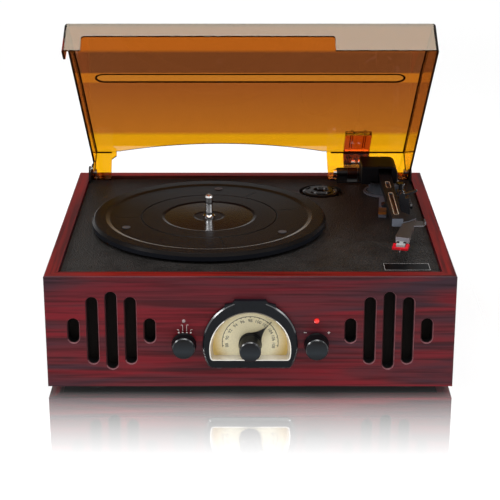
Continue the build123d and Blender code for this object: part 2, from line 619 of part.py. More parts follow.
# The rear corners are cut up so that they clear the deck as the cover swings. The rear wall has a
# relief round the sprung hinge, and the side walls have holes for the two hinge pins.
lid -= block(-HALF_W, HALF_W, HINGE_Y - 6, LID_REAR + 2, LID_BASE - 1, LID_BASE + CORNER_LIFT)
RELIEF = KNUCKLE_R + 1.2
lid -= block(SPRING_X - SPRING_W / 2 - 1, SPRING_X + SPRING_W / 2 + 5, LID_REAR - 8, LID_REAR + 4,
             LID_BASE - 1, HINGE_Z + RELIEF)
PIN_HOLE_R = HINGE_PIN_R + RUN
for side in (-1, 1):
    hole = sorted((side * (LID_TOP_HALF - 2 * LID_T), side * (LID_BASE_HALF + 2)))
    lid -= rod_x(*hole, HINGE_Y, HINGE_Z, PIN_HOLE_R)

# Two corner brackets of sheet steel, each an upright ear with a foot under the deck plate.
ear_face = Pos(HINGE_Y, HINGE_Z) * Circle(BRACKET_W / 2)
ear_face += Pos(HINGE_Y, (HINGE_Z + DECK_UNDER) / 2) * Rectangle(BRACKET_W, HINGE_Z - DECK_UNDER)


def hinge_bracket(side):
    ear = extrude(Plane.YZ * ear_face, BRACKET_T)
    ear = Pos(BRACKET_X if side > 0 else -BRACKET_X - BRACKET_T, 0, 0) * ear
    span = sorted((side * (BRACKET_X + BRACKET_T), side * (BRACKET_X - BRACKET_FOOT)))
    foot_part = block(*span, HINGE_Y - BRACKET_W / 2, HINGE_Y + BRACKET_W / 2,
                      DECK_UNDER - BRACKET_T, DECK_UNDER)
    hole = column(side * bracket_hole_x, HINGE_Y, DECK_UNDER - BRACKET_T, DECK_UNDER, SCREW_R)
    bracket = ear + foot_part - hole
    return bracket - rod_x(*sorted((side * (BRACKET_X - 1), side * (BRACKET_X + 4))),
                           HINGE_Y, HINGE_Z, HINGE_PIN_R)


parts["hinge_brackets"] = group(hinge_bracket(side) for side in (-1, 1))
pin = turned((0, 0), (HINGE_PIN_R, 0), (HINGE_PIN_R, BRACKET_T + 5.2), (HINGE_PIN_R + 1.4, BRACKET_T + 5.2),
             (HINGE_PIN_R + 1.0, BRACKET_T + 6.4), (0, BRACKET_T + 6.4))
pin_start = BRACKET_X + BRACKET_T
parts["hinge_pins"] = group([
    Pos(-pin_start, HINGE_Y, HINGE_Z) * Rot(0, 90, 0) * pin,
    Pos(pin_start, HINGE_Y, HINGE_Z) * Rot(0, -90, 0) * pin])
bracket_screw = turned((0, DECK_UNDER - BRACKET_T - 1.4), (2 * SCREW_R, DECK_UNDER - BRACKET_T - 1.4),
                       (2 * SCREW_R, DECK_UNDER - BRACKET_T), (SCREW_R, DECK_UNDER - BRACKET_T),
                       (SCREW_R, DECK - SKIN), (0, DECK - SKIN))
fasteners += [Pos(side * bracket_hole_x, HINGE_Y, 0) * bracket_screw for side in (-1, 1)]

# Sprung hinge at the right rear: two fixed knuckles on a foot, one knuckle on the cover's leaf.
KNUCKLE_W = SPRING_W / 3
spring_left = SPRING_X - SPRING_W / 2
knuckle_low = HINGE_Z - KNUCKLE_R
SPRING_PIN_R = 1.6


def knuckle(x0, x1, bore):
    return rod_x(x0, x1, HINGE_Y, HINGE_Z, KNUCKLE_R) - rod_x(x0, x1, HINGE_Y, HINGE_Z, bore)


fixed = []
for i in (0, 2):
    x0 = spring_left + i * KNUCKLE_W
    x1 = x0 + KNUCKLE_W
    stand = block(x0, x1, HINGE_Y - 2.4, HINGE_Y + 2.4, DECK + 1.4, HINGE_Z)
    stand -= rod_x(x0, x1, HINGE_Y, HINGE_Z, KNUCKLE_R)
    fixed.append(knuckle(x0, x1, SPRING_PIN_R) + stand)
foot_plate = block(spring_left, spring_left + SPRING_W, HINGE_Y - 6, HINGE_Y + 6, DECK, DECK + 1.4)
parts["sprung_hinge_base"] = fixed[0] + fixed[1] + foot_plate
leaf_y = LID_REAR
leaf_low = HINGE_Z + RELIEF - 5
leaf_top = LID_REAR_TOP - 0.5
moving_x0 = spring_left + KNUCKLE_W + GAP
moving_x1 = spring_left + 2 * KNUCKLE_W - GAP
leaf = block(LEAF_X - PAD_HALF, LEAF_X + PAD_HALF, leaf_y, leaf_y + LEAF_T, leaf_low, leaf_top)
leaf += block(moving_x0, moving_x1, HINGE_Y, leaf_y + LEAF_T, HINGE_Z, HINGE_Z + KNUCKLE_R - 1)
leaf += block(moving_x0, moving_x1, leaf_y, leaf_y + LEAF_T, HINGE_Z, LID_REAR_TOP - 6)
leaf += rod_x(moving_x0, moving_x1, HINGE_Y, HINGE_Z, KNUCKLE_R)
leaf -= rod_x(moving_x0, moving_x1, HINGE_Y, HINGE_Z, SPRING_PIN_R + RUN)
LEAF_SCREW_Z = HINGE_Z + 14.0
LEAF_SCREW_R = 1.2
leaf_screw_x = [LEAF_X - 3.5, LEAF_X + 3.5]
for x in leaf_screw_x:
    leaf -= rod_y(x, leaf_y, leaf_y + LEAF_T, LEAF_SCREW_Z, LEAF_SCREW_R)
    lid -= rod_y(x, LID_REAR - 3 * LID_T, leaf_y, LEAF_SCREW_Z, LEAF_SCREW_R)
parts["dust_cover"] = opened(lid)
parts["sprung_hinge_leaf"] = opened(leaf)
lean_at_screw = LID_LEAN * (LEAF_SCREW_Z - LID_BASE) / (LID_REAR_TOP - LID_BASE)
HEAD_SEAT = 0.3
head_back = LID_REAR - LID_T - lean_at_screw - HEAD_SEAT
head = turned((0, 0), (2.3, 0), (2.3, 0.7), (1.6, 1.3), (0, 1.5))
parts["leaf_screws"] = opened(group(
    Pos(x, 0, LEAF_SCREW_Z) * (rod_y(0, head_back - 0.1, leaf_y + LEAF_T, 0, LEAF_SCREW_R)
                               + facing(head_back).location * head)
    for x in leaf_screw_x))
spring_pin = rod_x(spring_left - 2.5, spring_left + SPRING_W, HINGE_Y, HINGE_Z, SPRING_PIN_R)
spring_pin += rod_x(spring_left - 3.5, spring_left - 0.1, HINGE_Y, HINGE_Z, 3.0)
parts["sprung_hinge_pin"] = spring_pin

# Tonearm base: a turned collar on the deck with a spigot and nut below.
SPIGOT_LOW = DECK_UNDER - 8
YAW_R = 3.0
collar = turned((YAW_R + RUN, SPIGOT_LOW), (SPIGOT_R, SPIGOT_LOW), (SPIGOT_R, DECK),
                (COLLAR_R + 1.2, DECK), (COLLAR_R + 1.2, DECK + 1.2), (COLLAR_R, DECK + 2.2),
                (COLLAR_R - 0.6, COLLAR_TOP - 1.5), (COLLAR_R - 1.6, COLLAR_TOP), (YAW_R + RUN, COLLAR_TOP))
parts["tonearm_base"] = Pos(ARM_X, ARM_Y, 0) * collar
nut = RegularPolygon(SPIGOT_R + 5, 6) - Circle(SPIGOT_R + RUN)
fasteners.append(Pos(ARM_X, ARM_Y, 0) * upright(nut, DECK_UNDER - 5, DECK_UNDER))

# Yoke: the housing that turns on the base and holds the arm's cross pin.
YOKE_LOW = COLLAR_TOP + YOKE_GAP
yoke_face = flat((-YOKE_LEFT, YOKE_LOW), (YOKE_RIGHT, YOKE_LOW), (YOKE_RIGHT, YOKE_TOP),
                 (-YOKE_LEFT, YOKE_TOP))
corners = yoke_face.vertices().group_by(Axis.Y)[-1].sort_by(Axis.X)
yoke_face = fillet(corners[1], 7.0)
yoke_face = fillet(yoke_face.vertices().group_by(Axis.Y)[-1].sort_by(Axis.X)[0], 2.0)
yoke = extrude(facing(YOKE_REAR) * yoke_face, YOKE_FRONT + YOKE_REAR)
top_edges = yoke.edges().filter_by(Axis.X).group_by(Axis.Z)[-1]
yoke = fillet(top_edges, 1.5)
channel_half = ARM_TAIL_W / 2 + ARM_SIDE_GAP
channel_left = ARM_SHIFT - channel_half
channel_right = ARM_SHIFT + channel_half
CHANNEL_REAR = 12.5
yoke -= block(channel_left, channel_right, -YOKE_FRONT, CHANNEL_REAR, YOKE_LOW + YOKE_WALL,
              YOKE_TOP - YOKE_WALL)
PIVOT_Y = 2.0
pin_x0 = channel_left - 3
pin_x1 = channel_right + 3
yoke -= rod_x(pin_x0, pin_x1, PIVOT_Y, ARM_PIVOT_Z, PITCH_PIN_R)
relief_top = ARM_BOTTOM
relief = Circle(LIFT_R + LIFT_W / 2 + YOKE_GAP) - Circle(LIFT_R - LIFT_W / 2 - YOKE_GAP)
relief &= Pos(0, -YOKE_REAR / 2) * Rectangle(4 * YOKE_LEFT, YOKE_REAR + YOKE_GAP)
yoke -= upright(relief, YOKE_LOW, relief_top)
parts["tonearm_yoke"] = Pos(ARM_X, ARM_Y, 0) * yoke
yaw_shaft = turned((0, SPIGOT_LOW - 3), (YAW_R, SPIGOT_LOW - 3), (YAW_R, SPIGOT_LOW - 1.4),
                   (YAW_R + 3, SPIGOT_LOW - 1.4), (YAW_R + 3, SPIGOT_LOW - GAP), (YAW_R, SPIGOT_LOW - GAP),
                   (YAW_R, YOKE_LOW), (0, YOKE_LOW))
parts["yaw_shaft"] = Pos(ARM_X, ARM_Y, 0) * yaw_shaft
parts["pitch_pin"] = Pos(ARM_X, ARM_Y, 0) * rod_x(pin_x0, pin_x1, PIVOT_Y, ARM_PIVOT_Z, PITCH_PIN_R)

# Arm tube: a tapered moulding with two troughs in its top, flared at the front for the headshell.
arm_mid = ARM_X + ARM_SHIFT
half_tail = ARM_TAIL_W / 2
half_arm = ARM_W / 2
tail_y = ARM_Y + 10.0
shoulder_y = ARM_Y - YOKE_FRONT - 6


def at_arm_end(*points):
    """Places measured from the middle of the arm's front end, to the right and to the rear."""
    return [(arm_mid + x, ARM_END_Y + y) for x, y in points]


FLARE = half_arm + 13.2
NECK = half_arm + 5.5
neck = at_arm_end((half_arm, 34), (half_arm + 10.5, 20), (FLARE, 11), (NECK, 3.5), (half_arm, 0))
arm_plan = flat((arm_mid - half_tail, tail_y), (arm_mid + half_tail, tail_y),
                (arm_mid + half_tail, shoulder_y), *neck,
                (arm_mid - half_arm, ARM_END_Y), (arm_mid - half_tail, shoulder_y))
arm_side = Plane.YZ * flat(
    (tail_y, ARM_BOTTOM + 2), (tail_y, ARM_TOP - 1), (ARM_Y - YOKE_FRONT, ARM_TOP - 0.5),
    (ARM_Y - YOKE_FRONT - 10, ARM_TOP), (ARM_END_Y, ARM_TOP), (ARM_END_Y, ARM_BOTTOM),
    (ARM_Y - YOKE_FRONT - 2, ARM_BOTTOM), (ARM_Y - YOKE_FRONT + 6, ARM_BOTTOM + 2))
arm = upright(arm_plan, ARM_BOTTOM, ARM_TOP) & extrude(Pos(arm_mid, 0, 0) * arm_side, 40, both=True)
neck_drop = flat(*at_arm_end((half_arm, 36), (half_arm + 20, 36), (half_arm + 20, -1), (half_arm, -1)))
arm -= upright(neck_drop, ARM_TOP - 3.4, ARM_TOP + 1)
for y0, y1 in ((ARM_Y - 152, ARM_Y - 82), (ARM_Y - 67, ARM_Y - 45)):
    trough = Pos(arm_mid, (y0 + y1) / 2) * SlotOverall(y1 - y0, TROUGH_W, rotation=90)
    arm -= upright(trough, ARM_TOP - TROUGH_DEPTH, ARM_TOP)
arm -= rod_x(arm_mid - 10, arm_mid + 10, ARM_Y + PIVOT_Y, ARM_PIVOT_Z, PITCH_PIN_R + RUN)
parts["tonearm_tube"] = arm

# Headshell: an angled plate that carries the cartridge, with a finger lift on its outer side.
SHELL_LOW = ARM_BOTTOM
SHELL_TOP = SHELL_LOW + SHELL_T
shell_plan = flat(*at_arm_end((NECK, 3.5), (FLARE, 11), (7.1, -44), (-6.1, -39.5), (half_arm - 2, -6),
                              (half_arm, 0)))
headshell = upright(shell_plan, SHELL_LOW, SHELL_TOP)
headshell = fillet(headshell.edges().filter_by(Axis.Z).sort_by(Axis.Y)[:2], 1.5)
SHELL_ANGLE = 13.3
lift_plan = flat(*at_arm_end((18.1, 7), (24.5, 5), (26.5, -3), (23.7, -8), (14.4, -8.5)))
finger = upright(lift_plan, SHELL_TOP - 1.0, SHELL_TOP)
curl = flat(*at_arm_end((25.1, 5), (26.5, 4), (26.5, -4), (25.1, -4)))
finger += upright(curl, SHELL_TOP - 1, SHELL_TOP + 2.4)
parts["headshell"] = headshell + finger

# Cartridge with its pins, the stylus carrier and the stylus, in the headshell's own axes.
shell_axis = Pos(arm_mid + 0.4, ARM_END_Y - 41, 0) * Rot(0, 0, -SHELL_ANGLE)
CART_LOW = RIM + 9.6
cartridge = extrude(Plane.YZ * flat((-1, CART_LOW + 3.4), (-1, SHELL_LOW), (26, SHELL_LOW),
                                    (26, CART_LOW + 2), (20, CART_LOW), (4, CART_LOW)), 5.6, both=True)
for x in (-3, 3):
    for z in (2.6, 4.2):
        cartridge += rod_y(x, 25, 30, CART_LOW + z, 0.45)
parts["cartridge"] = shell_axis * cartridge
carrier = extrude(Plane.YZ * flat((-13, CART_LOW + 0.4), (-13, CART_LOW + 2.2), (-2.4, CART_LOW + 3.2),
                                  (3.2, CART_LOW - 0.2), (-6, CART_LOW - 0.4)), 7.2, both=True)
carrier -= block(-4.5, 4.5, -10.4, -4, CART_LOW - 2, CART_LOW + 5)
tip = turned((0, RECORD_Z), (0.25, RECORD_Z + 0.3), (0.5, CART_LOW + 0.2), (0.5, CART_LOW + 0.6),
             (0, CART_LOW + 0.6))
tip += Pos(0, 3.2, CART_LOW + 0.7) * Box(0.9, 7.4, 0.6)
parts["stylus"] = Pos(STYLUS_X, STYLUS_Y, 0) * Rot(0, 0, -SHELL_ANGLE) * tip
parts["stylus_carrier"] = shell_axis * carrier - parts["stylus"]

# Arm rest with its cradle, and the clip that locks the arm.
CRADLE_Z = ARM_BOTTOM - REST_GAP
CRADLE_W = 9.0
arm_left = arm_mid - half_tail - 0.2
arm_right = arm_mid + half_tail + 0.2
cradle_face = flat((REST_POST_X + 5, DECK), (REST_POST_X + 3, ARM_TOP - 2), (arm_right + 0.8, ARM_TOP - 2),
                   (arm_right + 0.8, CRADLE_Z), (arm_left - 0.8, CRADLE_Z), (arm_left - 3.0, CRADLE_Z - 1.0),
                   (arm_left - 3.0, CRADLE_Z - 3.2), (REST_POST_X - 5, CRADLE_Z - 3.2),
                   (REST_POST_X - 6.5, DECK))
rest = extrude(facing(REST_Y + CRADLE_W / 2) * cradle_face, CRADLE_W)
CLIP_X = arm_right + 4.5
CLIP_Z = ARM_TOP + 0.8
CLIP_W = 4.0
CLIP_L = 14.6
CLIP_T = 1.9
CLIP_OPEN = 160.0
slot_half = CLIP_W / 2 + GAP
clip_half = CLIP_W / 2
ear = Pos(CLIP_X, CLIP_Z) * Circle(3.0) + Pos(CLIP_X, CLIP_Z - 2.0) * Rectangle(6.0, 4.0)
ears = extrude(facing(REST_Y + CRADLE_W / 2) * ear, CRADLE_W)
ears -= block(CLIP_X - 5, CLIP_X + 5, REST_Y - slot_half, REST_Y + slot_half, ARM_TOP - 2, CLIP_Z + 4)
CLIP_PIN_R = 0.9
rest += ears
rest -= rod_y(CLIP_X, REST_Y - CRADLE_W / 2, REST_Y + CRADLE_W / 2, CLIP_Z, CLIP_PIN_R + RUN)
parts["arm_rest"] = rest
clip_face = Circle(2.2) + Pos(-CLIP_L / 2, CLIP_T / 2) * Rectangle(CLIP_L, CLIP_T)
clip_face += Pos(-CLIP_L, CLIP_T / 2) * Circle(CLIP_T / 2)
clip_face = Rot(0, 0, -CLIP_OPEN) * clip_face
arm_clip = extrude(facing(REST_Y + clip_half, CLIP_X, CLIP_Z) * clip_face, CLIP_W)
arm_clip += rod_y(CLIP_X, REST_Y - CRADLE_W / 2, REST_Y + CRADLE_W / 2, CLIP_Z, CLIP_PIN_R)
parts["arm_clip"] = arm_clip

# Cue lift: a curved bar under the arm on a sliding pin, raised by a lever beside it.
LIFT_TOP = DECK + 9.0
lift_block = Rectangle(2 * LIFT_HALF, 3 * LIFT_HALF)
lift_block = fillet(lift_block.vertices(), 2.0)
lift_housing = upright(Pos(LIFT_X, LIFT_Y - LIFT_HALF / 2) * lift_block, DECK, LIFT_TOP)
lift_housing -= column(LIFT_X, LIFT_Y, DECK, LIFT_TOP, LIFT_PIN_R + RUN)
CUE_Y = LIFT_Y - LIFT_HALF - 1.0
CUE_Z = DECK + 5.0
CUE_PIN_R = 1.2
lift_housing -= rod_x(LIFT_X, LIFT_X + LIFT_HALF, CUE_Y, CUE_Z, CUE_PIN_R + RUN)
parts["lift_housing"] = lift_housing
BAR_TOP = ARM_BOTTOM - LIFT_TRAVEL - GAP
BAR_LOW = BAR_TOP - 1.6
sector = Circle(LIFT_R + LIFT_W / 2) - Circle(LIFT_R - LIFT_W / 2)
swing = [(radians(a)) for a in (-136, -100, -48)]
wedge = flat((0, 0), *[(60 * cos(a), 60 * sin(a)) for a in swing])
bar_plan = Pos(ARM_X, ARM_Y) * (sector & wedge)
bar_plan += Pos(LIFT_X, LIFT_Y) * Circle(LIFT_PIN_R + 1.2)
link_a = (ARM_X + LIFT_R * cos(swing[2]), ARM_Y + LIFT_R * sin(swing[2]))
link_dx = LIFT_X - link_a[0]
link_dy = LIFT_Y - link_a[1]
link_n = hypot(link_dx, link_dy)
nx = -link_dy / link_n * 2.0
ny = link_dx / link_n * 2.0
bar_plan += flat((link_a[0] + nx, link_a[1] + ny), (LIFT_X + nx, LIFT_Y + ny), (LIFT_X - nx, LIFT_Y - ny),
                 (link_a[0] - nx, link_a[1] - ny))
parts["lift_bar"] = (upright(bar_plan, BAR_LOW, BAR_TOP)
                     + column(LIFT_X, LIFT_Y, DECK + 1.5, BAR_LOW, LIFT_PIN_R))
LEVER_X = LIFT_X + LIFT_HALF + GAP
CUE_L = 38.0
cue_face = Circle(3.0) + Pos(-CUE_L / 2, 0.6) * Rectangle(CUE_L, 2.4) + Pos(-CUE_L, 1.0) * Circle(2.6)
cue = extrude(Plane.YZ * (Pos(CUE_Y, CUE_Z) * cue_face), 2.4)
parts["cue_lever"] = (Pos(LEVER_X, 0, 0) * cue
                      + rod_x(LIFT_X + 0.5, LEVER_X, CUE_Y, CUE_Z, CUE_PIN_R))

# Speed lever: a ring round the foot of the tonearm base, a flat arm and a raised paddle.
RING_IN = COLLAR_R + 1.2 + 0.3
lever_plan = Circle(RING_IN + 3) + Pos(0, -(RING_IN + LEVER_L) / 2) * Rectangle(LEVER_W, LEVER_L - RING_IN)
lever_plan -= Circle(RING_IN)
lever = upright(lever_plan, DECK + GAP, DECK + 1.8)
PADDLE_L = 27.0
paddle = extrude(Plane.YZ * flat((-LEVER_L, DECK + GAP), (-LEVER_L, DECK + 3.4), (-LEVER_L + 3, DECK + 5.2),
                                 (-LEVER_L + PADDLE_L, DECK + 2.4), (-LEVER_L + PADDLE_L, DECK + GAP)),
                 LEVER_W / 2, both=True)
paddle = fillet(paddle.edges().filter_by(Axis.Z), 1.2)
parts["speed_lever"] = Pos(ARM_X, ARM_Y, 0) * Rot(0, 0, -LEVER_ANGLE) * (lever + paddle)


# Front controls. A knob is turned with its back at height 0 and its face at its length.
def knob(length, back_r, face_r):
    return turned((0, 0), (back_r - 0.6, 0), (back_r, 0.6), (back_r, 2.2), (back_r - 0.5, 2.8),
                  (face_r, length - 1.2), (face_r - 0.9, length - 0.2), (face_r * 0.5, length),
                  (0, length))


def control_body(x):
    """A panel-mounted rotary control: a round case behind the panel and a threaded bush."""
    case = rod_y(x, PANEL_BACK, PANEL_BACK + POT_L, KNOB_Z, POT_R)
    case += rod_y(x, FRONT + 4, PANEL_BACK, KNOB_Z, BUSHING_R)
    return case - rod_y(x, FRONT + 4, SHAFT_END + GAP, KNOB_Z, KNOB_SHAFT_R + RUN)


SHAFT_END = PANEL_BACK + POT_L - 3
KNOB_REAR = FRONT - KNOB_GAP
for name, x, length in (("selector", -SIDE_KNOB_X, SELECTOR_L), ("volume", SIDE_KNOB_X, VOLUME_L)):
    body = facing(KNOB_REAR, x, KNOB_Z).location * knob(length, SIDE_KNOB_R, SIDE_KNOB_R - 1.0)
    parts[f"{name}_knob"] = body + rod_y(x, KNOB_REAR - 2, SHAFT_END, KNOB_Z, KNOB_SHAFT_R)
parts["rotary_controls"] = group(control_body(x) for x in (-SIDE_KNOB_X, SIDE_KNOB_X))

# Dial: one moulding of bezel and cup, a bright inner rim and a printed plate.
CUP_FLOOR = FRONT + DIAL_DEPTH + DIAL_PLATE_T
cup = extrude(facing(FRONT, 0, KNOB_Z) * cup_outline, -WALL - 3)
cup -= extrude(facing(FRONT, 0, KNOB_Z) * offset(cup_outline, -1.5), -(DIAL_DEPTH + DIAL_PLATE_T))
cup -= extrude(facing(CUP_FLOOR + 2.0, 0, KNOB_Z) * offset(cup_outline, -1.5), -WALL)
cup -= rod_y(0, CUP_FLOOR, CUP_FLOOR + 2.0, KNOB_Z, BUSHING_R + CUP_GAP)
window = arch_face(WINDOW_R, WINDOW_DROP, WINDOW_FLAT, 3.0)
face_outline = arch_face(WINDOW_R - FACE_SHRINK, WINDOW_DROP, WINDOW_FLAT - FACE_SHRINK + 0.6, 1.5)
BEZEL_FRONT = FRONT - BEZEL_T
bezel = extrude(facing(FRONT, 0, KNOB_Z) * arch_face(DIAL_R, 0, DIAL_FLAT, 5.0), BEZEL_T)
bezel = chamfer(bezel.faces().sort_by(Axis.Y)[0].edges(), 1.2)
tab = flat((-BEZEL_STEP_W / 2, DIAL_R - 12), (BEZEL_STEP_W / 2, DIAL_R - 12),
           (BEZEL_STEP_W / 2, DIAL_R - 4.2), (BEZEL_TAB_W / 2 + 2, DIAL_R - 2.6),
           (BEZEL_TAB_W / 2, DIAL_R + 0.5), (-BEZEL_TAB_W / 2, DIAL_R + 0.5),
           (-BEZEL_TAB_W / 2 - 2, DIAL_R - 2.6), (-BEZEL_STEP_W / 2, DIAL_R - 4.2))
bezel += extrude(facing(FRONT, 0, KNOB_Z) * tab, BEZEL_T - 0.8)
crown = flat((-BEZEL_TAB_W / 2, DIAL_R - 10.2), (BEZEL_TAB_W / 2, DIAL_R - 10.2),
             (BEZEL_TAB_W / 2, DIAL_R + 0.5), (-BEZEL_TAB_W / 2, DIAL_R + 0.5))
bezel += extrude(facing(FRONT, 0, KNOB_Z) * crown, BEZEL_T + 1.4)
bezel -= extrude(facing(FRONT, 0, KNOB_Z) * window, BEZEL_T + 5)
parts["dial_bezel"] = bezel + cup
rim_front = facing(BEZEL_FRONT, 0, KNOB_Z)
rim_back = facing(FRONT + DIAL_DEPTH, 0, KNOB_Z)
funnel = loft([rim_front * arch_face(WINDOW_R - 0.9, WINDOW_DROP, WINDOW_FLAT - 0.9, 2.4),
               rim_back * face_outline])
rim_body = extrude(rim_front * window, -BEZEL_T) + extrude(
    facing(FRONT, 0, KNOB_Z) * arch_face(WINDOW_R - 1.2, WINDOW_DROP, WINDOW_FLAT - 1.2, 2.4), -DIAL_DEPTH)
parts["dial_rim"] = rim_body - funnel
plate = extrude(rim_back * offset(cup_outline, -1.6), -DIAL_PLATE_T)
plate -= rod_y(0, FRONT, PANEL_BACK, KNOB_Z, BUSHING_R + CUP_GAP)
parts["dial_plate"] = plate

# Tuning control: capacitor behind the cup, pointer and knob on its shaft.
tuner_back = CUP_FLOOR + 2.0
case = block(-14, 14, tuner_back, tuner_back + 16, KNOB_Z - 14, KNOB_Z + 14)
case += rod_y(0, FRONT + DIAL_DEPTH - 0.4, tuner_back, KNOB_Z, BUSHING_R)
case -= rod_y(0, FRONT + DIAL_DEPTH - 1, tuner_back + 12, KNOB_Z, KNOB_SHAFT_R + RUN)
parts["tuning_capacitor"] = case
POINTER_Y = FRONT + DIAL_DEPTH - 1.0
KNOB_BACK = POINTER_Y - POINTER_T - 1.6
tuning_front = KNOB_BACK - TUNING_L
parts["tuning_shaft"] = rod_y(0, tuning_front + 5, tuner_back + 11.8, KNOB_Z, KNOB_SHAFT_R)
tuning_knob = facing(KNOB_BACK, 0, KNOB_Z).location * knob(TUNING_L, TUNING_R, TUNING_R - 0.8)
parts["tuning_knob"] = tuning_knob - parts["tuning_shaft"]
POINTER_HUB_R = 10.2
pointer_edges = [
    ThreePointArc((POINTER_HUB_R * cos(radians(40)), POINTER_HUB_R * sin(radians(40))),
                  (POINTER_L * 0.52, 2.1), (POINTER_L, 0.35)),
    Line((POINTER_L, 0.35), (POINTER_L, -0.35)),
    ThreePointArc((POINTER_L, -0.35), (POINTER_L * 0.52, -2.1),
                  (POINTER_HUB_R * cos(radians(40)), -POINTER_HUB_R * sin(radians(40)))),
    ThreePointArc((POINTER_HUB_R * cos(radians(40)), -POINTER_HUB_R * sin(radians(40))),
                  (-POINTER_HUB_R, 0),
                  (POINTER_HUB_R * cos(radians(40)), POINTER_HUB_R * sin(radians(40))))]
pointer_face = make_face(Wire(pointer_edges)) - Circle(KNOB_SHAFT_R)
pointer = extrude(Rot(0, 0, POINTER_ANGLE) * pointer_face, POINTER_T)
pointer += upright(Circle(6.0) - Circle(KNOB_SHAFT_R), POINTER_T, POINTER_T + 1.6)
parts["dial_pointer"] = facing(POINTER_Y, 0, KNOB_Z).location * pointer


# Indicator lamps, each a flanged dome in its hole.
def lamp(x, radius):
    body = turned((0, -6), (radius, -6), (radius, 0.2), (radius * 0.8, radius * 0.7), (radius * 0.4, radius),
                  (0, radius * 1.05))
    return facing(FRONT, x, LED_Z).location * body


parts["indicator_lamps"] = group([lamp(SIDE_KNOB_X, LED_R), lamp(-SIDE_KNOB_X, SOURCE_LED_R)])

# Speakers behind the slots: cloth, pressed basket, cone and magnet.
cloth = facing(PANEL_BACK + CLOTH_T).location * Box(CLOTH_W, CLOTH_H, CLOTH_T,
                                                   align=(Align.CENTER, Align.CENTER, Align.MIN))
parts["speaker_cloths"] = group(Pos(side * SPEAKER_X, 0, SPEAKER_Z) * cloth for side in (-1, 1))
basket = turned((BASKET_R, 0), (BASKET_R, 1.5), (CONE_R + 1, 1.5), (MAGNET_R - 2, BASKET_DEPTH - 1.2),
                (MAGNET_R - 2, BASKET_DEPTH), (12, BASKET_DEPTH), (12, BASKET_DEPTH - 1.2),
                (MAGNET_R - 3.6, BASKET_DEPTH - 1.2), (CONE_R, 0))
for i in range(4):
    basket -= Rot(0, 0, 45 + 90 * i) * Pos(27, 0, BASKET_DEPTH * 0.55) * Box(10, 17, BASKET_DEPTH * 0.5)
cone = turned((CONE_R - 1.0, 0.6), (CONE_R - 1.2, 1.4), (CONE_R - 4, 0.9), (9, 15.4), (0, 12.4),
              (0, 11.4), (9, 14.2), (CONE_R - 4.2, 0.2))
basket += turned((0, BASKET_DEPTH), (MAGNET_R, BASKET_DEPTH), (MAGNET_R, BASKET_DEPTH + MAGNET_T),
                 (0, BASKET_DEPTH + MAGNET_T))
behind = Plane(origin=(0, PANEL_BACK + CLOTH_T, 0), x_dir=(1, 0, 0), z_dir=(0, 1, 0)).location
for name, piece in (("speaker_frames", basket), ("speaker_cones", cone)):
    parts[name] = group(Pos(side * SPEAKER_X, 0, SPEAKER_Z) * (behind * piece) for side in (-1, 1))

# Circuit board on standoffs, and the sockets in the rear panel.
BOARD_LOW = FLOOR + STANDOFF_H
board_holes = [(BOARD_X + sx * (BOARD_W / 2 - 5), BOARD_Y + sy * (BOARD_D / 2 - 5))
               for sx in (-1, 1) for sy in (-1, 1)]
board = block(BOARD_X - BOARD_W / 2, BOARD_X + BOARD_W / 2, BOARD_Y - BOARD_D / 2, BOARD_Y + BOARD_D / 2,
              BOARD_LOW, BOARD_LOW + BOARD_T)
chips = [(-40, 20, 14, 14, 2.4), (10, -15, 22, 8, 3.0), (45, 15, 12, 12, 2.0), (-15, -22, 10, 18, 9.0)]
for dx, dy, w, d, h in chips:
    x, y = BOARD_X + dx, BOARD_Y + dy
    board += block(x - w / 2, x + w / 2, y - d / 2, y + d / 2, BOARD_LOW + BOARD_T, BOARD_LOW + BOARD_T + h)
for dx, dy in ((-55, -20), (-35, -25), (30, 28)):
    board += column(BOARD_X + dx, BOARD_Y + dy, BOARD_LOW + BOARD_T, BOARD_LOW + BOARD_T + 12, 5)
for x, y in board_holes:
    board -= column(x, y, BOARD_LOW, BOARD_LOW + BOARD_T, SCREW_R)
parts["circuit_board"] = board
parts["board_standoffs"] = group(
    column(x, y, FLOOR, BOARD_LOW, 3.5) + column(x, y, BOARD_LOW, BOARD_LOW + BOARD_T, SCREW_R)
    + column(x, y, BOARD_LOW + BOARD_T, BOARD_LOW + BOARD_T + 1.5, 2.6) for x, y in board_holes)

PLATE_Y = HALF_D + SOCKET_PLATE_T
plate = Plane(origin=(SOCKET_X, HALF_D, SOCKET_Z), x_dir=(1, 0, 0), z_dir=(0, 1, 0)) * RectangleRounded(
    SOCKET_PLATE_W, SOCKET_PLATE_H, 2.5)
plate = extrude(plate, SOCKET_PLATE_T)
for x in socket_x[:2]:
    plate -= rod_y(x, HALF_D, PLATE_Y, SOCKET_Z, PHONO_NECK_R + RUN)
for x in socket_x[2:]:
    plate -= rod_y(x, HALF_D, PLATE_Y, SOCKET_Z, NECK_R + RUN)
for x in plate_screw_x:
    plate -= rod_y(x, HALF_D, PLATE_Y, SOCKET_Z, SCREW_R)
    fasteners.append(rod_y(x, HALF_D - PLATE_SCREW_L, PLATE_Y, SOCKET_Z, SCREW_R)
                     + rod_y(x, PLATE_Y, PLATE_Y + 1.4, SOCKET_Z, 2 * SCREW_R))
parts["socket_plate"] = plate
parts["case_fasteners"] = group(fasteners)


def phono_socket(x):
    body = rod_y(x, INNER_Y, HALF_D, SOCKET_Z, SOCKET_BODY_R)
    body += rod_y(x, HALF_D, PLATE_Y, SOCKET_Z, PHONO_NECK_R)
    body += rod_y(x, PLATE_Y, PLATE_Y + PHONO_L, SOCKET_Z, PHONO_R)
    return body - rod_y(x, PLATE_Y, PLATE_Y + PHONO_L, SOCKET_Z, PHONO_BORE_R)


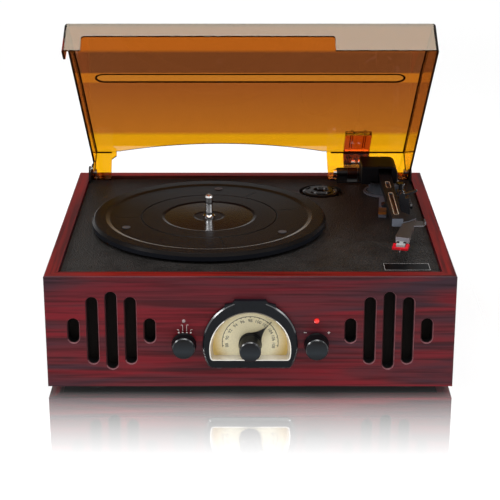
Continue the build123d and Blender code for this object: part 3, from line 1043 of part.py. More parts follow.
def round_jack(x, bore, pin_r):
    body = rod_y(x, PLATE_Y - JACK_L - 3, PLATE_Y, SOCKET_Z, NECK_R)
    body += rod_y(x, PLATE_Y - JACK_L - 3, HALF_D, SOCKET_Z, SOCKET_BODY_R)
    body -= rod_y(x, PLATE_Y - JACK_L, PLATE_Y, SOCKET_Z, bore)
    if pin_r:
        body += rod_y(x, PLATE_Y - JACK_L, PLATE_Y - 2, SOCKET_Z, pin_r)
    return body


parts["rear_sockets"] = group([phono_socket(socket_x[0]), phono_socket(socket_x[1]),
                               round_jack(socket_x[2], JACK_R, 0), round_jack(socket_x[3], 2.7, 0.95)])

os.makedirs("parts", exist_ok=True)
for name, shape in parts.items():
    export_step(shape, f"parts/{name}.step")
print(len(parts), "sub-parts written")
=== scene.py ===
from math import cos, pi, radians, sin

import bmesh
import bpy
from mathutils import Matrix, Vector


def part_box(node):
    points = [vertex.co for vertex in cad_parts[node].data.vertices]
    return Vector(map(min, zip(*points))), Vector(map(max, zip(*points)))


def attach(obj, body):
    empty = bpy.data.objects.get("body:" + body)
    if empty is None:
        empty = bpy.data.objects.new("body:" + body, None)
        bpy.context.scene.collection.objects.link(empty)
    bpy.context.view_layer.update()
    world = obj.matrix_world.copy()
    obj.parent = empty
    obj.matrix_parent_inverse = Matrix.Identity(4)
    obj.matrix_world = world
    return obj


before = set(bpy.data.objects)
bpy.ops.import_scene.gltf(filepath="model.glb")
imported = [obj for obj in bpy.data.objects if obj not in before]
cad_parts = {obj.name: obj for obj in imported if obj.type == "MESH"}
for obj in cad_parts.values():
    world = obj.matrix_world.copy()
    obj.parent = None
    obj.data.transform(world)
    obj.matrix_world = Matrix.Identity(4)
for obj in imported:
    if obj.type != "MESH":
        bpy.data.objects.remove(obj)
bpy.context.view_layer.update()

# Studio. A seamless pale table, a wide soft light overhead, a soft light at the left and a weaker,
# taller one at the right, as a small product is usually photographed.
MM = 0.001
PICTURE = 500
CAMERA_PLACE = (-0.0002, -1.4394, 0.5976)
CAMERA_PITCH = 0.3445
FOCAL_PIXELS = 1533.0
SENSOR = 36.0

scene = bpy.context.scene
scene.view_settings.view_transform = "Standard"
camera_data = bpy.data.cameras.new("camera")
camera_data.sensor_width = SENSOR
camera_data.lens = FOCAL_PIXELS / PICTURE * SENSOR
camera = bpy.data.objects.new("camera", camera_data)
camera.location = CAMERA_PLACE
camera.rotation_euler = (pi / 2 - CAMERA_PITCH, 0, 0)
scene.collection.objects.link(camera)
scene.camera = camera


def soft_light(name, place, target, width, height, watts):
    data = bpy.data.lights.new(name, "AREA")
    data.shape = "RECTANGLE"
    data.size = width
    data.size_y = height
    data.energy = watts
    lamp = bpy.data.objects.new(name, data)
    lamp.location = place
    aim = Vector(target) - Vector(place)
    lamp.rotation_euler = aim.to_track_quat("-Z", "Y").to_euler()
    scene.collection.objects.link(lamp)


soft_light("overhead_light", (-0.1, -0.35, 1.5), (0, -0.05, 0.1), 1.3, 0.5, 17)
soft_light("left_light", (-1.5, -0.6, 0.95), (0, 0, 0.1), 0.5, 0.5, 11)
soft_light("right_light", (1.5, -0.8, 0.9), (0, 0, 0.1), 0.4, 0.8, 6)


def plug(links, value, socket):
    """Sets a node's socket to a value, or links it to another node's output."""
    if isinstance(value, bpy.types.NodeSocket):
        links.new(value, socket)
    else:
        socket.default_value = value


def maths(nodes, links, operation, *values):
    """The result of a maths node on numbers and other nodes' outputs."""
    node = nodes.new("ShaderNodeMath")
    node.operation = operation
    for value, socket in zip(values, node.inputs):
        plug(links, value, socket)
    return node.outputs[0]


def ray_kind(nodes, links, *kinds):
    """1 for a ray of any of the given kinds, else 0."""
    path = nodes.new("ShaderNodeLightPath")
    found = path.outputs[kinds[0]]
    for kind in kinds[1:]:
        found = maths(nodes, links, "MAXIMUM", found, path.outputs[kind])
    return found


def spread(nodes, links, value, source, target):
    """Maps a value from one range to another. An end may be a number or a node's output."""
    node = nodes.new("ShaderNodeMapRange")
    for socket, end in zip(("Value", "From Min", "From Max", "To Min", "To Max"),
                           (value, *source, *target)):
        plug(links, end, node.inputs[socket])
    return node.outputs["Result"]


# The sweep behind the object is white up to a little over the horizon, with a dim room above it.
SKY_LIGHT = 0.55
ROOM = 0.16
ROOM_RISE = (0.16, 0.26)
SWEEP_TURN = (-0.3, 0.2)
world = bpy.data.worlds.new("studio")
scene.world = world
world.use_nodes = True
world_nodes = world.node_tree.nodes
world_links = world.node_tree.links
backdrop = world_nodes["Background"]
backdrop.inputs["Color"].default_value = (1, 1, 1, 1)
compass = world_nodes.new("ShaderNodeTexCoord")
direction = world_nodes.new("ShaderNodeSeparateXYZ")
world_links.new(compass.outputs["Generated"], direction.inputs["Vector"])
high = spread(world_nodes, world_links, direction.outputs["Z"], ROOM_RISE, (1.0, ROOM))
sweep_level = spread(world_nodes, world_links, direction.outputs["Y"], SWEEP_TURN, (1.0, high))
mirrored = ray_kind(world_nodes, world_links, "Is Glossy Ray", "Is Transmission Ray")
sharp = ray_kind(world_nodes, world_links, "Is Singular Ray")
in_mirror = spread(world_nodes, world_links, sharp, (0, 1), (sweep_level, 1.0))
lit = spread(world_nodes, world_links, mirrored, (0, 1), (SKY_LIGHT, in_mirror))
in_view = ray_kind(world_nodes, world_links, "Is Camera Ray")
shown = spread(world_nodes, world_links, in_view, (0, 1), (lit, 1.0))
world_links.new(shown, backdrop.inputs["Strength"])

TABLE_HALF = 6.0
TABLE_GREY = 0.8
TABLE_GLOW = 0.38
table_mesh = bpy.data.meshes.new("table")
table_mesh.from_pydata([(-TABLE_HALF, -TABLE_HALF, 0), (TABLE_HALF, -TABLE_HALF, 0),
                        (TABLE_HALF, TABLE_HALF, 0), (-TABLE_HALF, TABLE_HALF, 0)],
                       [], [(0, 1, 2, 3)])
table = bpy.data.objects.new("table", table_mesh)
scene.collection.objects.link(table)
table_paint = bpy.data.materials.new("table_top")
table_paint.use_nodes = True
table_nodes = table_paint.node_tree.nodes
table_links = table_paint.node_tree.links
table_shader = table_nodes["Principled BSDF"]
table_shader.inputs["Base Color"].default_value = (TABLE_GREY, TABLE_GREY, TABLE_GREY, 1)
table_shader.inputs["Roughness"].default_value = 0.12
seen = ray_kind(table_nodes, table_links, "Is Camera Ray", "Is Glossy Ray", "Is Transmission Ray")
table_shader.inputs["Emission Color"].default_value = (1, 1, 1, 1)
table_links.new(spread(table_nodes, table_links, seen, (0, 1), (0.0, TABLE_GLOW)),
                table_shader.inputs["Emission Strength"])

# The table is polished, so the cabinet's foot shows in it and fades out in front.
FOOTPRINT = (0.185, 0.16)
POLISH = 0.97
POLISH_FADE = 0.17
table_place = table_nodes.new("ShaderNodeTexCoord")
table_axes = table_nodes.new("ShaderNodeSeparateXYZ")
table_links.new(table_place.outputs["Object"], table_axes.inputs["Vector"])
beyond = []
for axis, half in zip("XY", FOOTPRINT):
    off_middle = maths(table_nodes, table_links, "ABSOLUTE", table_axes.outputs[axis])
    beyond.append(maths(table_nodes, table_links, "SUBTRACT", off_middle, half))
farthest = maths(table_nodes, table_links, "MAXIMUM", *beyond)
mirror_share = spread(table_nodes, table_links, farthest, (0.0, POLISH_FADE), (POLISH, 0.0))
mirror = table_nodes.new("ShaderNodeBsdfGlossy")
mirror.inputs["Roughness"].default_value = 0.0
mirror.inputs["Color"].default_value = (1, 1, 1, 1)
polished = table_nodes.new("ShaderNodeMixShader")
table_links.new(mirror_share, polished.inputs[0])
table_links.new(table_shader.outputs[0], polished.inputs[1])
table_links.new(mirror.outputs[0], polished.inputs[2])
table_links.new(polished.outputs[0], table_nodes["Material Output"].inputs["Surface"])
table.data.materials.append(table_paint)


# Cabinet. Four mitred boards of fibreboard under a printed mahogany foil with a dark grain along
# each board, closed below by a plain board that the four rubber feet are screwed to.
def tint(red, green, blue):
    """A colour as a paint chart gives it, 0 to 255, for a shader."""
    def linear(value):
        value /= 255
        return value / 12.92 if value <= 0.04045 else ((value + 0.055) / 1.055) ** 2.4
    return (linear(red), linear(green), linear(blue), 1)


class Finish:
    """A material under construction: its shader and the few texture nodes that finishes share."""

    def __init__(self, name, roughness, metallic=0.0, specular=0.5):
        self.material = bpy.data.materials.new(name)
        self.material.use_nodes = True
        self.nodes = self.material.node_tree.nodes
        self.links = self.material.node_tree.links
        self.shader = self.nodes["Principled BSDF"]
        self.set("Roughness", roughness)
        self.set("Metallic", metallic)
        self.set("Specular IOR Level", specular)

    def set(self, socket, value):
        self.shader.inputs[socket].default_value = value

    def feed(self, output, socket):
        self.links.new(output, self.shader.inputs[socket])

    def place(self, scale):
        """The object's own coordinates, stretched by scale along each axis."""
        source = self.nodes.new("ShaderNodeTexCoord")
        mapping = self.nodes.new("ShaderNodeMapping")
        mapping.inputs["Scale"].default_value = scale
        self.links.new(source.outputs["Object"], mapping.inputs["Vector"])
        return mapping.outputs["Vector"]

    def coordinate(self, axis):
        """The object's own coordinate along one axis."""
        axes = self.nodes.new("ShaderNodeSeparateXYZ")
        self.links.new(self.place((1, 1, 1)), axes.inputs["Vector"])
        return axes.outputs[axis]

    def noise(self, scale, detail=4.0, stretch=(1, 1, 1), distortion=0.0):
        texture = self.nodes.new("ShaderNodeTexNoise")
        texture.inputs["Scale"].default_value = scale
        texture.inputs["Detail"].default_value = detail
        texture.inputs["Distortion"].default_value = distortion
        self.links.new(self.place(stretch), texture.inputs["Vector"])
        return texture.outputs["Fac"]

    def cells(self, scale, feature="F1"):
        texture = self.nodes.new("ShaderNodeTexVoronoi")
        texture.feature = feature
        texture.inputs["Scale"].default_value = scale
        self.links.new(self.place((1, 1, 1)), texture.inputs["Vector"])
        return texture.outputs["Distance"]

    def ramp(self, value, *stops):
        """Colours at positions from 0 to 1, read at value."""
        node = self.nodes.new("ShaderNodeValToRGB")
        ends = node.color_ramp.elements
        while len(ends) < len(stops):
            ends.new(0.5)
        for element, (position, colour) in zip(ends, stops):
            element.position = position
            element.color = colour
        self.links.new(value, node.inputs["Fac"])
        return node.outputs["Color"]

    def span(self, value, low, high, source=(0.0, 1.0)):
        return spread(self.nodes, self.links, value, source, (low, high))

    def blend(self, share, first, second, kind="MIX"):
        node = self.nodes.new("ShaderNodeMix")
        node.data_type = "RGBA"
        node.blend_type = kind
        plug(self.links, share, node.inputs["Factor"])
        plug(self.links, first, node.inputs[6])
        plug(self.links, second, node.inputs[7])
        return node.outputs[2]

    def bump(self, height, depth, strength=1.0):
        node = self.nodes.new("ShaderNodeBump")
        node.inputs["Strength"].default_value = strength
        node.inputs["Distance"].default_value = depth
        self.links.new(height, node.inputs["Height"])
        self.feed(node.outputs["Normal"], "Normal")


def dress(finish, *names):
    """Gives a finish to CAD nodes or to pieces made here."""
    for name in names:
        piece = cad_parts[name] if isinstance(name, str) else name
        piece.data.materials.clear()
        piece.data.materials.append(finish.material)
        for face in piece.data.polygons:
            face.material_index = 0


GREYER_ABOVE = (78 * MM, 112 * MM)


def mahogany_foil(name, along, specular, *reds):
    """Red brown with fine dark streaks along the board and broad bands, greyer near the top."""
    foil = Finish(name, 0.38, specular=specular)
    fine = (10, 330, 330) if along == "X" else (330, 10, 330)
    broad = (4, 50, 50) if along == "X" else (50, 4, 50)
    streaks = foil.noise(1.0, 5.0, fine, 0.3)
    bands = foil.noise(1.0, 5.0, broad, 0.9)
    body = foil.ramp(bands, *zip((0.35, 0.46, 0.57, 0.72), reds))
    grain = foil.ramp(streaks, (0.36, tint(172, 156, 164)), (0.56, tint(255, 255, 255)))
    near_top = foil.span(foil.coordinate("Z"), 0.0, 1.0, GREYER_ABOVE)
    greyer = foil.ramp(near_top, (0.0, tint(255, 255, 255)), (1.0, tint(214, 252, 255)))
    grained = foil.blend(0.9, body, grain, "MULTIPLY")
    foil.feed(foil.blend(1.0, grained, greyer, "MULTIPLY"), "Base Color")
    foil.feed(foil.span(streaks, 0.32, 0.48), "Roughness")
    foil.bump(streaks, 0.00005, 0.5)
    return foil


def paint_faces(finish, name, chosen):
    """Gives a further finish to the faces of a CAD node whose centre and normal pass the test."""
    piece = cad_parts[name]
    piece.data.materials.append(finish.material)
    index = len(piece.data.materials) - 1
    turn = piece.matrix_world.to_3x3()
    for face in piece.data.polygons:
        if chosen(piece.matrix_world @ face.center, (turn @ face.normal).normalized()):
            face.material_index = index


FACE_REDS = tint(64, 34, 43), tint(92, 32, 39), tint(116, 23, 33), tint(98, 27, 36)
LIT_TOP_REDS = tint(104, 23, 21), tint(122, 23, 20), tint(138, 23, 18), tint(126, 24, 21)
SHADED_INNER_REDS = tint(62, 34, 31), tint(72, 36, 32), tint(80, 36, 31), tint(72, 35, 31)
dress(mahogany_foil("foil_front", "X", 0.14, *FACE_REDS), "front_panel", "rear_panel")
dress(mahogany_foil("foil_sides", "Y", 0.14, *FACE_REDS), "side_panels")
# The boards' upward faces get brighter reds than their fronts: painted light from above on the same
# foil.
for board, along in (("front_panel", "X"), ("rear_panel", "X"), ("side_panels", "Y")):
    painted_lit_top_foil = mahogany_foil("foil_painted_lit_top_of_" + board, along, 0.04, *LIT_TOP_REDS)
    paint_faces(painted_lit_top_foil, board, lambda place, normal: normal.z > 0.9)
# The rear board's inner face gets darker reds: painted shade inside the cabinet.
paint_faces(mahogany_foil("foil_rear_inside_painted_shade", "X", 0.04, *SHADED_INNER_REDS), "rear_panel",
            lambda place, normal: normal.y < -0.9)


def mottled(name, roughness, scale, detail, dark, light, stops=(0.3, 0.7), specular=0.5, bump=0.0):
    """Two close tones in a fine cloudy pattern, with a bump of the same pattern where asked."""
    finish = Finish(name, roughness, specular=specular)
    cloud = finish.noise(scale, detail)
    finish.feed(finish.ramp(cloud, (stops[0], dark), (stops[1], light)), "Base Color")
    if bump:
        finish.bump(cloud, bump)
    return finish


# The slots are routed through the foil: their walls are painted black. Their bevels are painted
# paler where they face the left light and darker elsewhere: a painted highlight and painted shade.
slot_black = mottled("slot_paint_black", 0.7, 200, 4.0, tint(6, 6, 7), tint(16, 14, 15),
                     specular=0.2)
bevel_painted_lit = mottled("slot_bevel", 0.45, 300, 4.0, tint(96, 54, 60), tint(136, 92, 96))
bevel_painted_shade = mottled("slot_bevel_shaded", 0.5, 300, 4.0, tint(40, 18, 22), tint(60, 26, 30))
panel_low, panel_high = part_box("front_panel")
EDGE_MARGIN = 3 * MM
SLOTS_REACH = 170 * MM


def in_opening(place):
    return panel_low.z + EDGE_MARGIN < place.z < panel_high.z - EDGE_MARGIN


paint_faces(slot_black, "front_panel",
            lambda place, normal: in_opening(place) and abs(normal.y) < 0.3)


def slot_bevel(lit):
    """A test for the bevels round the slots: those that face the left light, or the others."""
    def chosen(place, normal):
        bevel = in_opening(place) and 0.3 < abs(normal.y) < 0.97 and abs(place.x) < SLOTS_REACH
        return bevel and lit == (normal.z > 0.25 or normal.x < -0.5)
    return chosen


paint_faces(bevel_painted_lit, "front_panel", slot_bevel(True))
paint_faces(bevel_painted_shade, "front_panel", slot_bevel(False))

fibreboard = mottled("raw_fibreboard", 0.85, 220, 8.0, tint(120, 88, 58), tint(158, 122, 84),
                     bump=0.0002)
dress(fibreboard, "deck_battens")
board_paint = mottled("board_paint_black", 0.8, 260, 6.0, tint(10, 10, 11), tint(24, 24, 25),
                      specular=0.2, bump=0.00012)
dress(board_paint, "bottom_board")
rubber = mottled("foot_rubber", 0.75, 300, 5.0, tint(16, 16, 17), tint(34, 34, 35), (0.3, 0.8),
                 specular=0.3, bump=0.00008)
dress(rubber, "feet", "motor_grommets", "drive_belt")

zinc = Finish("zinc_plated_steel", 0.32, metallic=1.0)
spangle = zinc.noise(180, 3.0)
zinc.feed(zinc.ramp(spangle, (0.3, tint(150, 150, 156)), (0.7, tint(196, 196, 200))), "Base Color")
zinc.feed(zinc.span(spangle, 0.26, 0.42), "Roughness")
dress(zinc, "case_fasteners")


# Deck plate. One black moulding with a leather grain on its face and a smooth platter well, let
# in between the walls. A small bare plate with a bright edge is glued at its front right corner.
def leather_grain(name, light, dark, depth):
    """Plastic with a moulded leather pattern: pores, creases between them and a slow mottle."""
    hide = Finish(name, 0.5, specular=0.2)
    pores = hide.cells(640)
    creases = hide.cells(420, "DISTANCE_TO_EDGE")
    mottle = hide.noise(60, 6.0)
    pebble = hide.span(creases, 0.0, 9.0)
    hide.feed(hide.blend(pebble, hide.ramp(mottle, (0.3, dark), (0.7, light)),
                         hide.ramp(pores, (0.0, light), (0.6, dark))), "Base Color")
    hide.feed(hide.span(mottle, 0.42, 0.6), "Roughness")
    hide.bump(pores, depth, 0.8)
    return hide


dress(leather_grain("deck_leather_grain", tint(52, 49, 47), tint(15, 14, 13), 0.0008), "deck_plate")


def satin_plastic(name, colour, roughness, texture=0.00002, specular=0.25):
    """Moulded plastic: nearly even colour, a very fine spark texture and faint handling marks."""
    plastic = Finish(name, roughness, specular=specular)
    spark = plastic.noise(900, 4.0)
    haze = plastic.noise(35, 4.0)
    bright = tuple(min(1.0, c * 1.1) for c in colour[:3]) + (1,)
    dim = tuple(c * 0.9 for c in colour[:3]) + (1,)
    plastic.feed(plastic.ramp(haze, (0.3, dim), (0.7, bright)), "Base Color")
    plastic.feed(plastic.span(haze, roughness * 0.92, roughness * 1.1), "Roughness")
    plastic.bump(spark, texture, 0.6)
    return plastic


dress(satin_plastic("plate_black", tint(7, 7, 8), 0.3, specular=0.1), "deck_badge")
silver = Finish("bright_silver_foil", 0.3, metallic=0.2)
brushed = silver.noise(1.0, 4.0, (30, 900, 30))
silver.feed(silver.ramp(brushed, (0.3, tint(126, 124, 122)), (0.7, tint(184, 182, 180))),
            "Base Color")


def piece_from(name, grid, body, finish, bevel=0.0):
    """Links a bmesh as a finished piece that rides on a body."""
    bmesh.ops.recalc_face_normals(grid, faces=grid.faces)
    mesh = bpy.data.meshes.new(name)
    grid.to_mesh(mesh)
    grid.free()
    piece = bpy.data.objects.new(name, mesh)
    scene.collection.objects.link(piece)
    if bevel:
        rounding = piece.modifiers.new("edges", "BEVEL")
        rounding.width = bevel
        rounding.segments = 2
    dress(finish, piece)
    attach(piece, body)


def add_prism(grid, first, second):
    """Adds a solid to a bmesh: two rings with equally many points, closed and joined."""
    first, second = [[grid.verts.new(point) for point in ring] for ring in (first, second)]
    grid.faces.new(list(reversed(first)))
    grid.faces.new(second)
    for i in range(len(first)):
        j = (i + 1) % len(first)
        grid.faces.new((first[i], first[j], second[j], second[i]))


def add_slab(grid, outline, low, high, turn=Matrix.Identity(4)):
    """Adds a flat slab: an outline of (x, y) points between two heights, then turned."""
    add_prism(grid, *[[turn @ Vector((x, y, z)) for x, y in outline] for z in (low, high)])


def box_outline(x0, x1, y0, y1):
    return [(x0, y0), (x1, y0), (x1, y1), (x0, y1)]


EDGE_LINE = 0.5 * MM
EDGE_INSET = 0.7 * MM
PRINT_T = 0.04 * MM
low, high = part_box("deck_badge")
grid = bmesh.new()
left, right = low.x + EDGE_INSET, high.x - EDGE_INSET
near, far = low.y + EDGE_INSET, high.y - EDGE_INSET
for strip in (box_outline(left, right, near, near + EDGE_LINE),
              box_outline(left, right, far - EDGE_LINE, far),
              box_outline(left, left + EDGE_LINE, near + EDGE_LINE, far - EDGE_LINE),
              box_outline(right - EDGE_LINE, right, near + EDGE_LINE, far - EDGE_LINE)):
    add_slab(grid, strip, high.z, high.z + PRINT_T)
piece_from("badge_bright_edge", grid, "chassis", silver)


# Bearing and drive. A steel spindle turns in a sintered bronze bush under the deck, on a nylon
# washer, held by a circlip. A small motor hangs on grommets and drives the belt by a brass pulley.
def bare_metal(name, colour, roughness, streak=(1, 1, 1)):
    metal = Finish(name, roughness, metallic=1.0)
    marks = metal.noise(120, 5.0, streak)
    dim = tuple(c * 0.8 for c in colour[:3]) + (1,)
    metal.feed(metal.ramp(marks, (0.3, dim), (0.7, colour)), "Base Color")
    metal.feed(metal.span(marks, roughness * 0.8, roughness * 1.3), "Roughness")
    return metal


dress(bare_metal("polished_chrome", tint(226, 226, 228), 0.09, (4, 4, 1)), "spindle",
      "leaf_screws", "sprung_hinge_pin")
dress(bare_metal("sintered_bronze", tint(176, 126, 74), 0.4), "bearing_bush")
dress(bare_metal("turned_brass", tint(204, 170, 92), 0.22), "motor_pulley")
dress(bare_metal("spring_steel", tint(128, 128, 132), 0.3), "spindle_circlip", "yaw_shaft",
      "pitch_pin", "tuning_shaft", "hinge_pins")
dress(bare_metal("motor_case_steel", tint(150, 152, 154), 0.35), "motor")
dress(satin_plastic("washer_nylon", tint(214, 212, 202), 0.4), "thrust_washer")

# Platter. A black moulding with a raised rim band, a sloped step down to the mat area, a groove and
# a sunk label area. Three round pads are pressed in, and short seams part the mat into fields.
PLATTER_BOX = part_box("platter")
PLATTER_CENTRE = (PLATTER_BOX[0] + PLATTER_BOX[1]) / 2
HUB_EDGE = 15.0
LABEL_EDGE = 46.5
GROOVE = (65.6, 67.4)
SLOPE = (97.4, 101.6)
RIM_WALL = 113.4
dress(satin_plastic("platter_black", tint(20, 17, 16), 0.26, 0.00001, specular=0.055), "platter")


def from_spindle(place):
    """Distance from the spindle's axis, in millimetres."""
    return (place - PLATTER_CENTRE).xy.length / MM


def in_ring(inner, outer, level=0.2):
    """A test for the platter's upward faces between two radii, in millimetres."""
    def chosen(place, normal):
        upward = place.z > PLATTER_CENTRE.z and normal.z > level
        return upward and inner < from_spindle(place) < outer
    return chosen


label_gloss = satin_plastic("platter_label_gloss", tint(20, 16, 14), 0.16, 0.0, specular=0.75)
paint_faces(label_gloss, "platter", in_ring(HUB_EDGE, LABEL_EDGE, 0.97))
slope_gloss = satin_plastic("platter_slope_gloss", tint(24, 22, 21), 0.26, 0.00001, specular=0.35)
paint_faces(slope_gloss, "platter", in_ring(*SLOPE))
rim_black = satin_plastic("platter_rim_black", tint(17, 19, 25), 0.3, 0.00001, specular=0.22)
paint_faces(rim_black, "platter",
            lambda place, normal: from_spindle(place) > RIM_WALL and normal.z < 0.25)
# The groove's floor is painted near black, a painted shade in the recess. The same black marks the
# mat's seams, which are dark joints.
shade_and_seam_black = satin_plastic("shade_and_seam_black", tint(6, 6, 6), 0.5, specular=0.1)
paint_faces(shade_and_seam_black, "platter", in_ring(*GROOVE))
dress(satin_plastic("pad_grey", tint(60, 58, 60), 0.4), "platter_pads")
SEAM_W = 1.0 * MM
SEAM_FROM = 68 * MM
SEAM_TO = 91 * MM
SEAM_ANGLES = (184.4, 59.0, 13.5, -79.5)
MAT_TOP = PLATTER_BOX[1].z - 1.0 * MM
on_spindle = Matrix.Translation((PLATTER_CENTRE.x, PLATTER_CENTRE.y, 0))
grid = bmesh.new()
for angle in SEAM_ANGLES:
    add_slab(grid, box_outline(SEAM_FROM, SEAM_TO, -SEAM_W / 2, SEAM_W / 2), MAT_TOP,
             MAT_TOP + PRINT_T, on_spindle @ Matrix.Rotation(radians(angle), 4, "Z"))
piece_from("platter_seams", grid, "platter", shade_and_seam_black)

# Record adapter. A glossy black plastic disc that centres large-holed records. It lies loose in its
# recess in the deck.
dress(satin_plastic("adapter_black", tint(18, 18, 18), 0.2, 0.00001), "record_adapter")

# Hinges. Two pressed steel corner brackets, black, and a sprung hinge with a black base whose leaf
# of dark brown plastic is screwed to the cover.
dress(satin_plastic("hinge_black", tint(18, 18, 19), 0.3), "hinge_brackets", "sprung_hinge_base")
dress(satin_plastic("leaf_brown", tint(34, 15, 9), 0.35, specular=0.1), "sprung_hinge_leaf")

# Dust cover. One injection moulding of clear amber acrylic, polished outside and inside. Its colour
# is painted lightest at its rear and browner towards the front, brighter along the flute and with a
# dark band between the flute and the front: painted light and a painted reflection of the front
# wall over the amber tint. The hinge's leaf is screwed to its thick pad.
COVER_LOW = 120 * MM
COVER_HIGH = 330 * MM
ACRYLIC_PASSES = (0.913, 0.644, 0.02, 1)
ACRYLIC_DENSITY = 480
leaf_low, leaf_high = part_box("sprung_hinge_leaf")
LEAF_MIDDLE = (leaf_low.x + leaf_high.x) / 2
LEAF_HALF = (leaf_high.x - leaf_low.x) / 2
LEAF_SEEN_BELOW = 165.5 * MM
# Where the hinge's leaf lies behind the cover, the cover is painted darker and redder: painted
# shade in place of the leaf seen through it.
LEAF_PAINTED_SHADE = (0.0, tint(96, 52, 34)), (0.098, tint(80, 42, 28)), (0.112, tint(206, 132, 128))


def amber_acrylic(name, stops, painted_leaf_shade=()):
    """Clear tinted acrylic. The stops are colours from the opened cover's lowest point, 0, to its
    highest, 1: the amber tint with painted light and a painted reflection in it, and painted shade
    where the hinge's leaf lies behind the cover."""
    amber = Finish(name, 0.03)
    amber.set("IOR", 1.49)
    amber.set("Transmission Weight", 1.0)
    height = amber.coordinate("Z")
    rise = amber.span(height, 0.0, 1.0, (COVER_LOW, COVER_HIGH))
    body = amber.ramp(rise, *stops)
    if painted_leaf_shade:
        maker = amber.nodes, amber.links
        across = maths(*maker, "COMPARE", amber.coordinate("X"), LEAF_MIDDLE, LEAF_HALF)
        below = maths(*maker, "LESS_THAN", height, LEAF_SEEN_BELOW)
        leaf_shade_mask = maths(*maker, "MULTIPLY", across, below)
        body = amber.blend(leaf_shade_mask, body, amber.ramp(rise, *painted_leaf_shade))
    amber.feed(body, "Base Color")
    thickness = amber.nodes.new("ShaderNodeVolumeAbsorption")
    thickness.inputs["Color"].default_value = ACRYLIC_PASSES
    thickness.inputs["Density"].default_value = ACRYLIC_DENSITY
    end = amber.nodes["Material Output"]
    amber.links.new(thickness.outputs["Volume"], end.inputs["Volume"])
    clear = amber.nodes.new("ShaderNodeBsdfTransparent")
    amber.links.new(body, clear.inputs["Color"])
    pass_light = amber.nodes.new("ShaderNodeMixShader")
    amber.links.new(ray_kind(amber.nodes, amber.links, "Is Shadow Ray"), pass_light.inputs[0])
    amber.links.new(amber.shader.outputs[0], pass_light.inputs[1])
    amber.links.new(clear.outputs[0], pass_light.inputs[2])
    amber.links.new(pass_light.outputs[0], end.inputs["Surface"])
    return amber


# Colours up the opened cover: the amber tint with painted light and a painted reflection of the
# front wall. The side walls are painted lighter low down and darker upwards in the same way.
COVER_TINTS_AND_PAINTED_LIGHT = (
    (0.0, tint(246, 207, 32)), (0.215, tint(242, 202, 38)), (0.24, tint(198, 138, 66)),
    (0.585, tint(170, 110, 70)), (0.592, tint(208, 142, 60)), (0.645, tint(208, 142, 60)),
    (0.655, tint(133, 88, 70)), (0.785, tint(133, 88, 70)), (0.805, tint(206, 130, 62)))
FRONT_WALL_PAINTED_REFLECTION = tint(110, 108, 98)
SIDE_TINTS_AND_PAINTED_LIGHT = (0.1, tint(226, 170, 44)), (0.3, tint(170, 104, 56)), (1.0, tint(142, 92, 62))
dress(amber_acrylic("amber_body", COVER_TINTS_AND_PAINTED_LIGHT, LEAF_PAINTED_SHADE), "dust_cover")
# The front wall is painted a pale grey beige: a painted reflection of the soft light on its face.
front_wall_painted_reflection = amber_acrylic("amber_front_wall", ((0.0, FRONT_WALL_PAINTED_REFLECTION), (1.0, FRONT_WALL_PAINTED_REFLECTION)))
front_wall_painted_reflection.set("Specular Tint", (1.0, 0.86, 0.68, 1))
side_amber = amber_acrylic("amber_side_walls", SIDE_TINTS_AND_PAINTED_LIGHT)
edge_painted_shade = satin_plastic("edge_painted_shade", tint(38, 18, 8), 0.5, specular=0.0)

LID_OPEN = 41.2
HINGE = Matrix.Translation((0, 138 * MM, 120.5 * MM))
CLOSE = HINGE @ Matrix.Rotation(radians(LID_OPEN), 4, "X") @ HINGE.inverted()
CLOSE_TURN = CLOSE.to_3x3()

# Where the closed cover's walls and cuts lie, in millimetres.
COVER_MIDDLE = Vector((0, 0, 130))
FRONT_WALL = -140
REAR_EDGE = 139
SIDE_WALL = 165
LOWER_RIM = 134
FOLD_TOP = 146
CUT_HALF = 160
CUT_TOP = 147
ARCH_LOW = 143.5
ARCH_ENDS = (-150, 86)
ARCH_DEPTH = (110, 142.5)
FLUTE_LOW = 146.2
FLUTE_DEPTH = (-38, -17)


def between(value, ends):
    return ends[0] < value < ends[1]


def cover_face(kind):
    """A test for one kind of face of the cover: front wall, side walls, or the edges and folds."""
    def chosen(place, normal):
        place = CLOSE @ place / MM
        normal = CLOSE_TURN @ normal
        x, y, z = place
        faces_side = abs(normal.x) > 0.9
        upright = abs(normal.z) < 0.3
        if kind == "front":
            return abs(normal.y) > 0.9 and y < FRONT_WALL
        if kind == "side":
            return faces_side and abs(x) > SIDE_WALL
        inwards = (COVER_MIDDLE - place).dot(normal) > 0
        inner_fold = max(map(abs, normal)) < 0.97 and inwards and z < FOLD_TOP
        lower_rim = normal.z < -0.9 and z < LOWER_RIM
        cut_side = (faces_side and abs(x) < CUT_HALF and z < CUT_TOP
                    and not FRONT_WALL <= y <= REAR_EDGE)
        arch_rim = upright and z > ARCH_LOW and between(x, ARCH_ENDS) and between(y, ARCH_DEPTH)
        flute_wall = upright and z > FLUTE_LOW and between(y, FLUTE_DEPTH)
        return inner_fold or lower_rim or cut_side or arch_rim or flute_wall
    return chosen


paint_faces(front_wall_painted_reflection, "dust_cover", cover_face("front"))
paint_faces(side_amber, "dust_cover", cover_face("side"))
# The cover's folds, lower rim, cut sides, arch edge and flute walls are painted dark brown: painted
# shade where the clear walls bend.
paint_faces(edge_painted_shade, "dust_cover", cover_face("edge"))


def slot_outline(middle, y0, y1, half):
    """A long slot's outline, counterclockwise, with round ends."""
    ends = ((y1 - half, range(0, 181, 15)), (y0 + half, range(180, 361, 15)))
    return [(middle + half * cos(radians(a)), y + half * sin(radians(a)))
            for y, turn in ends for a in turn]


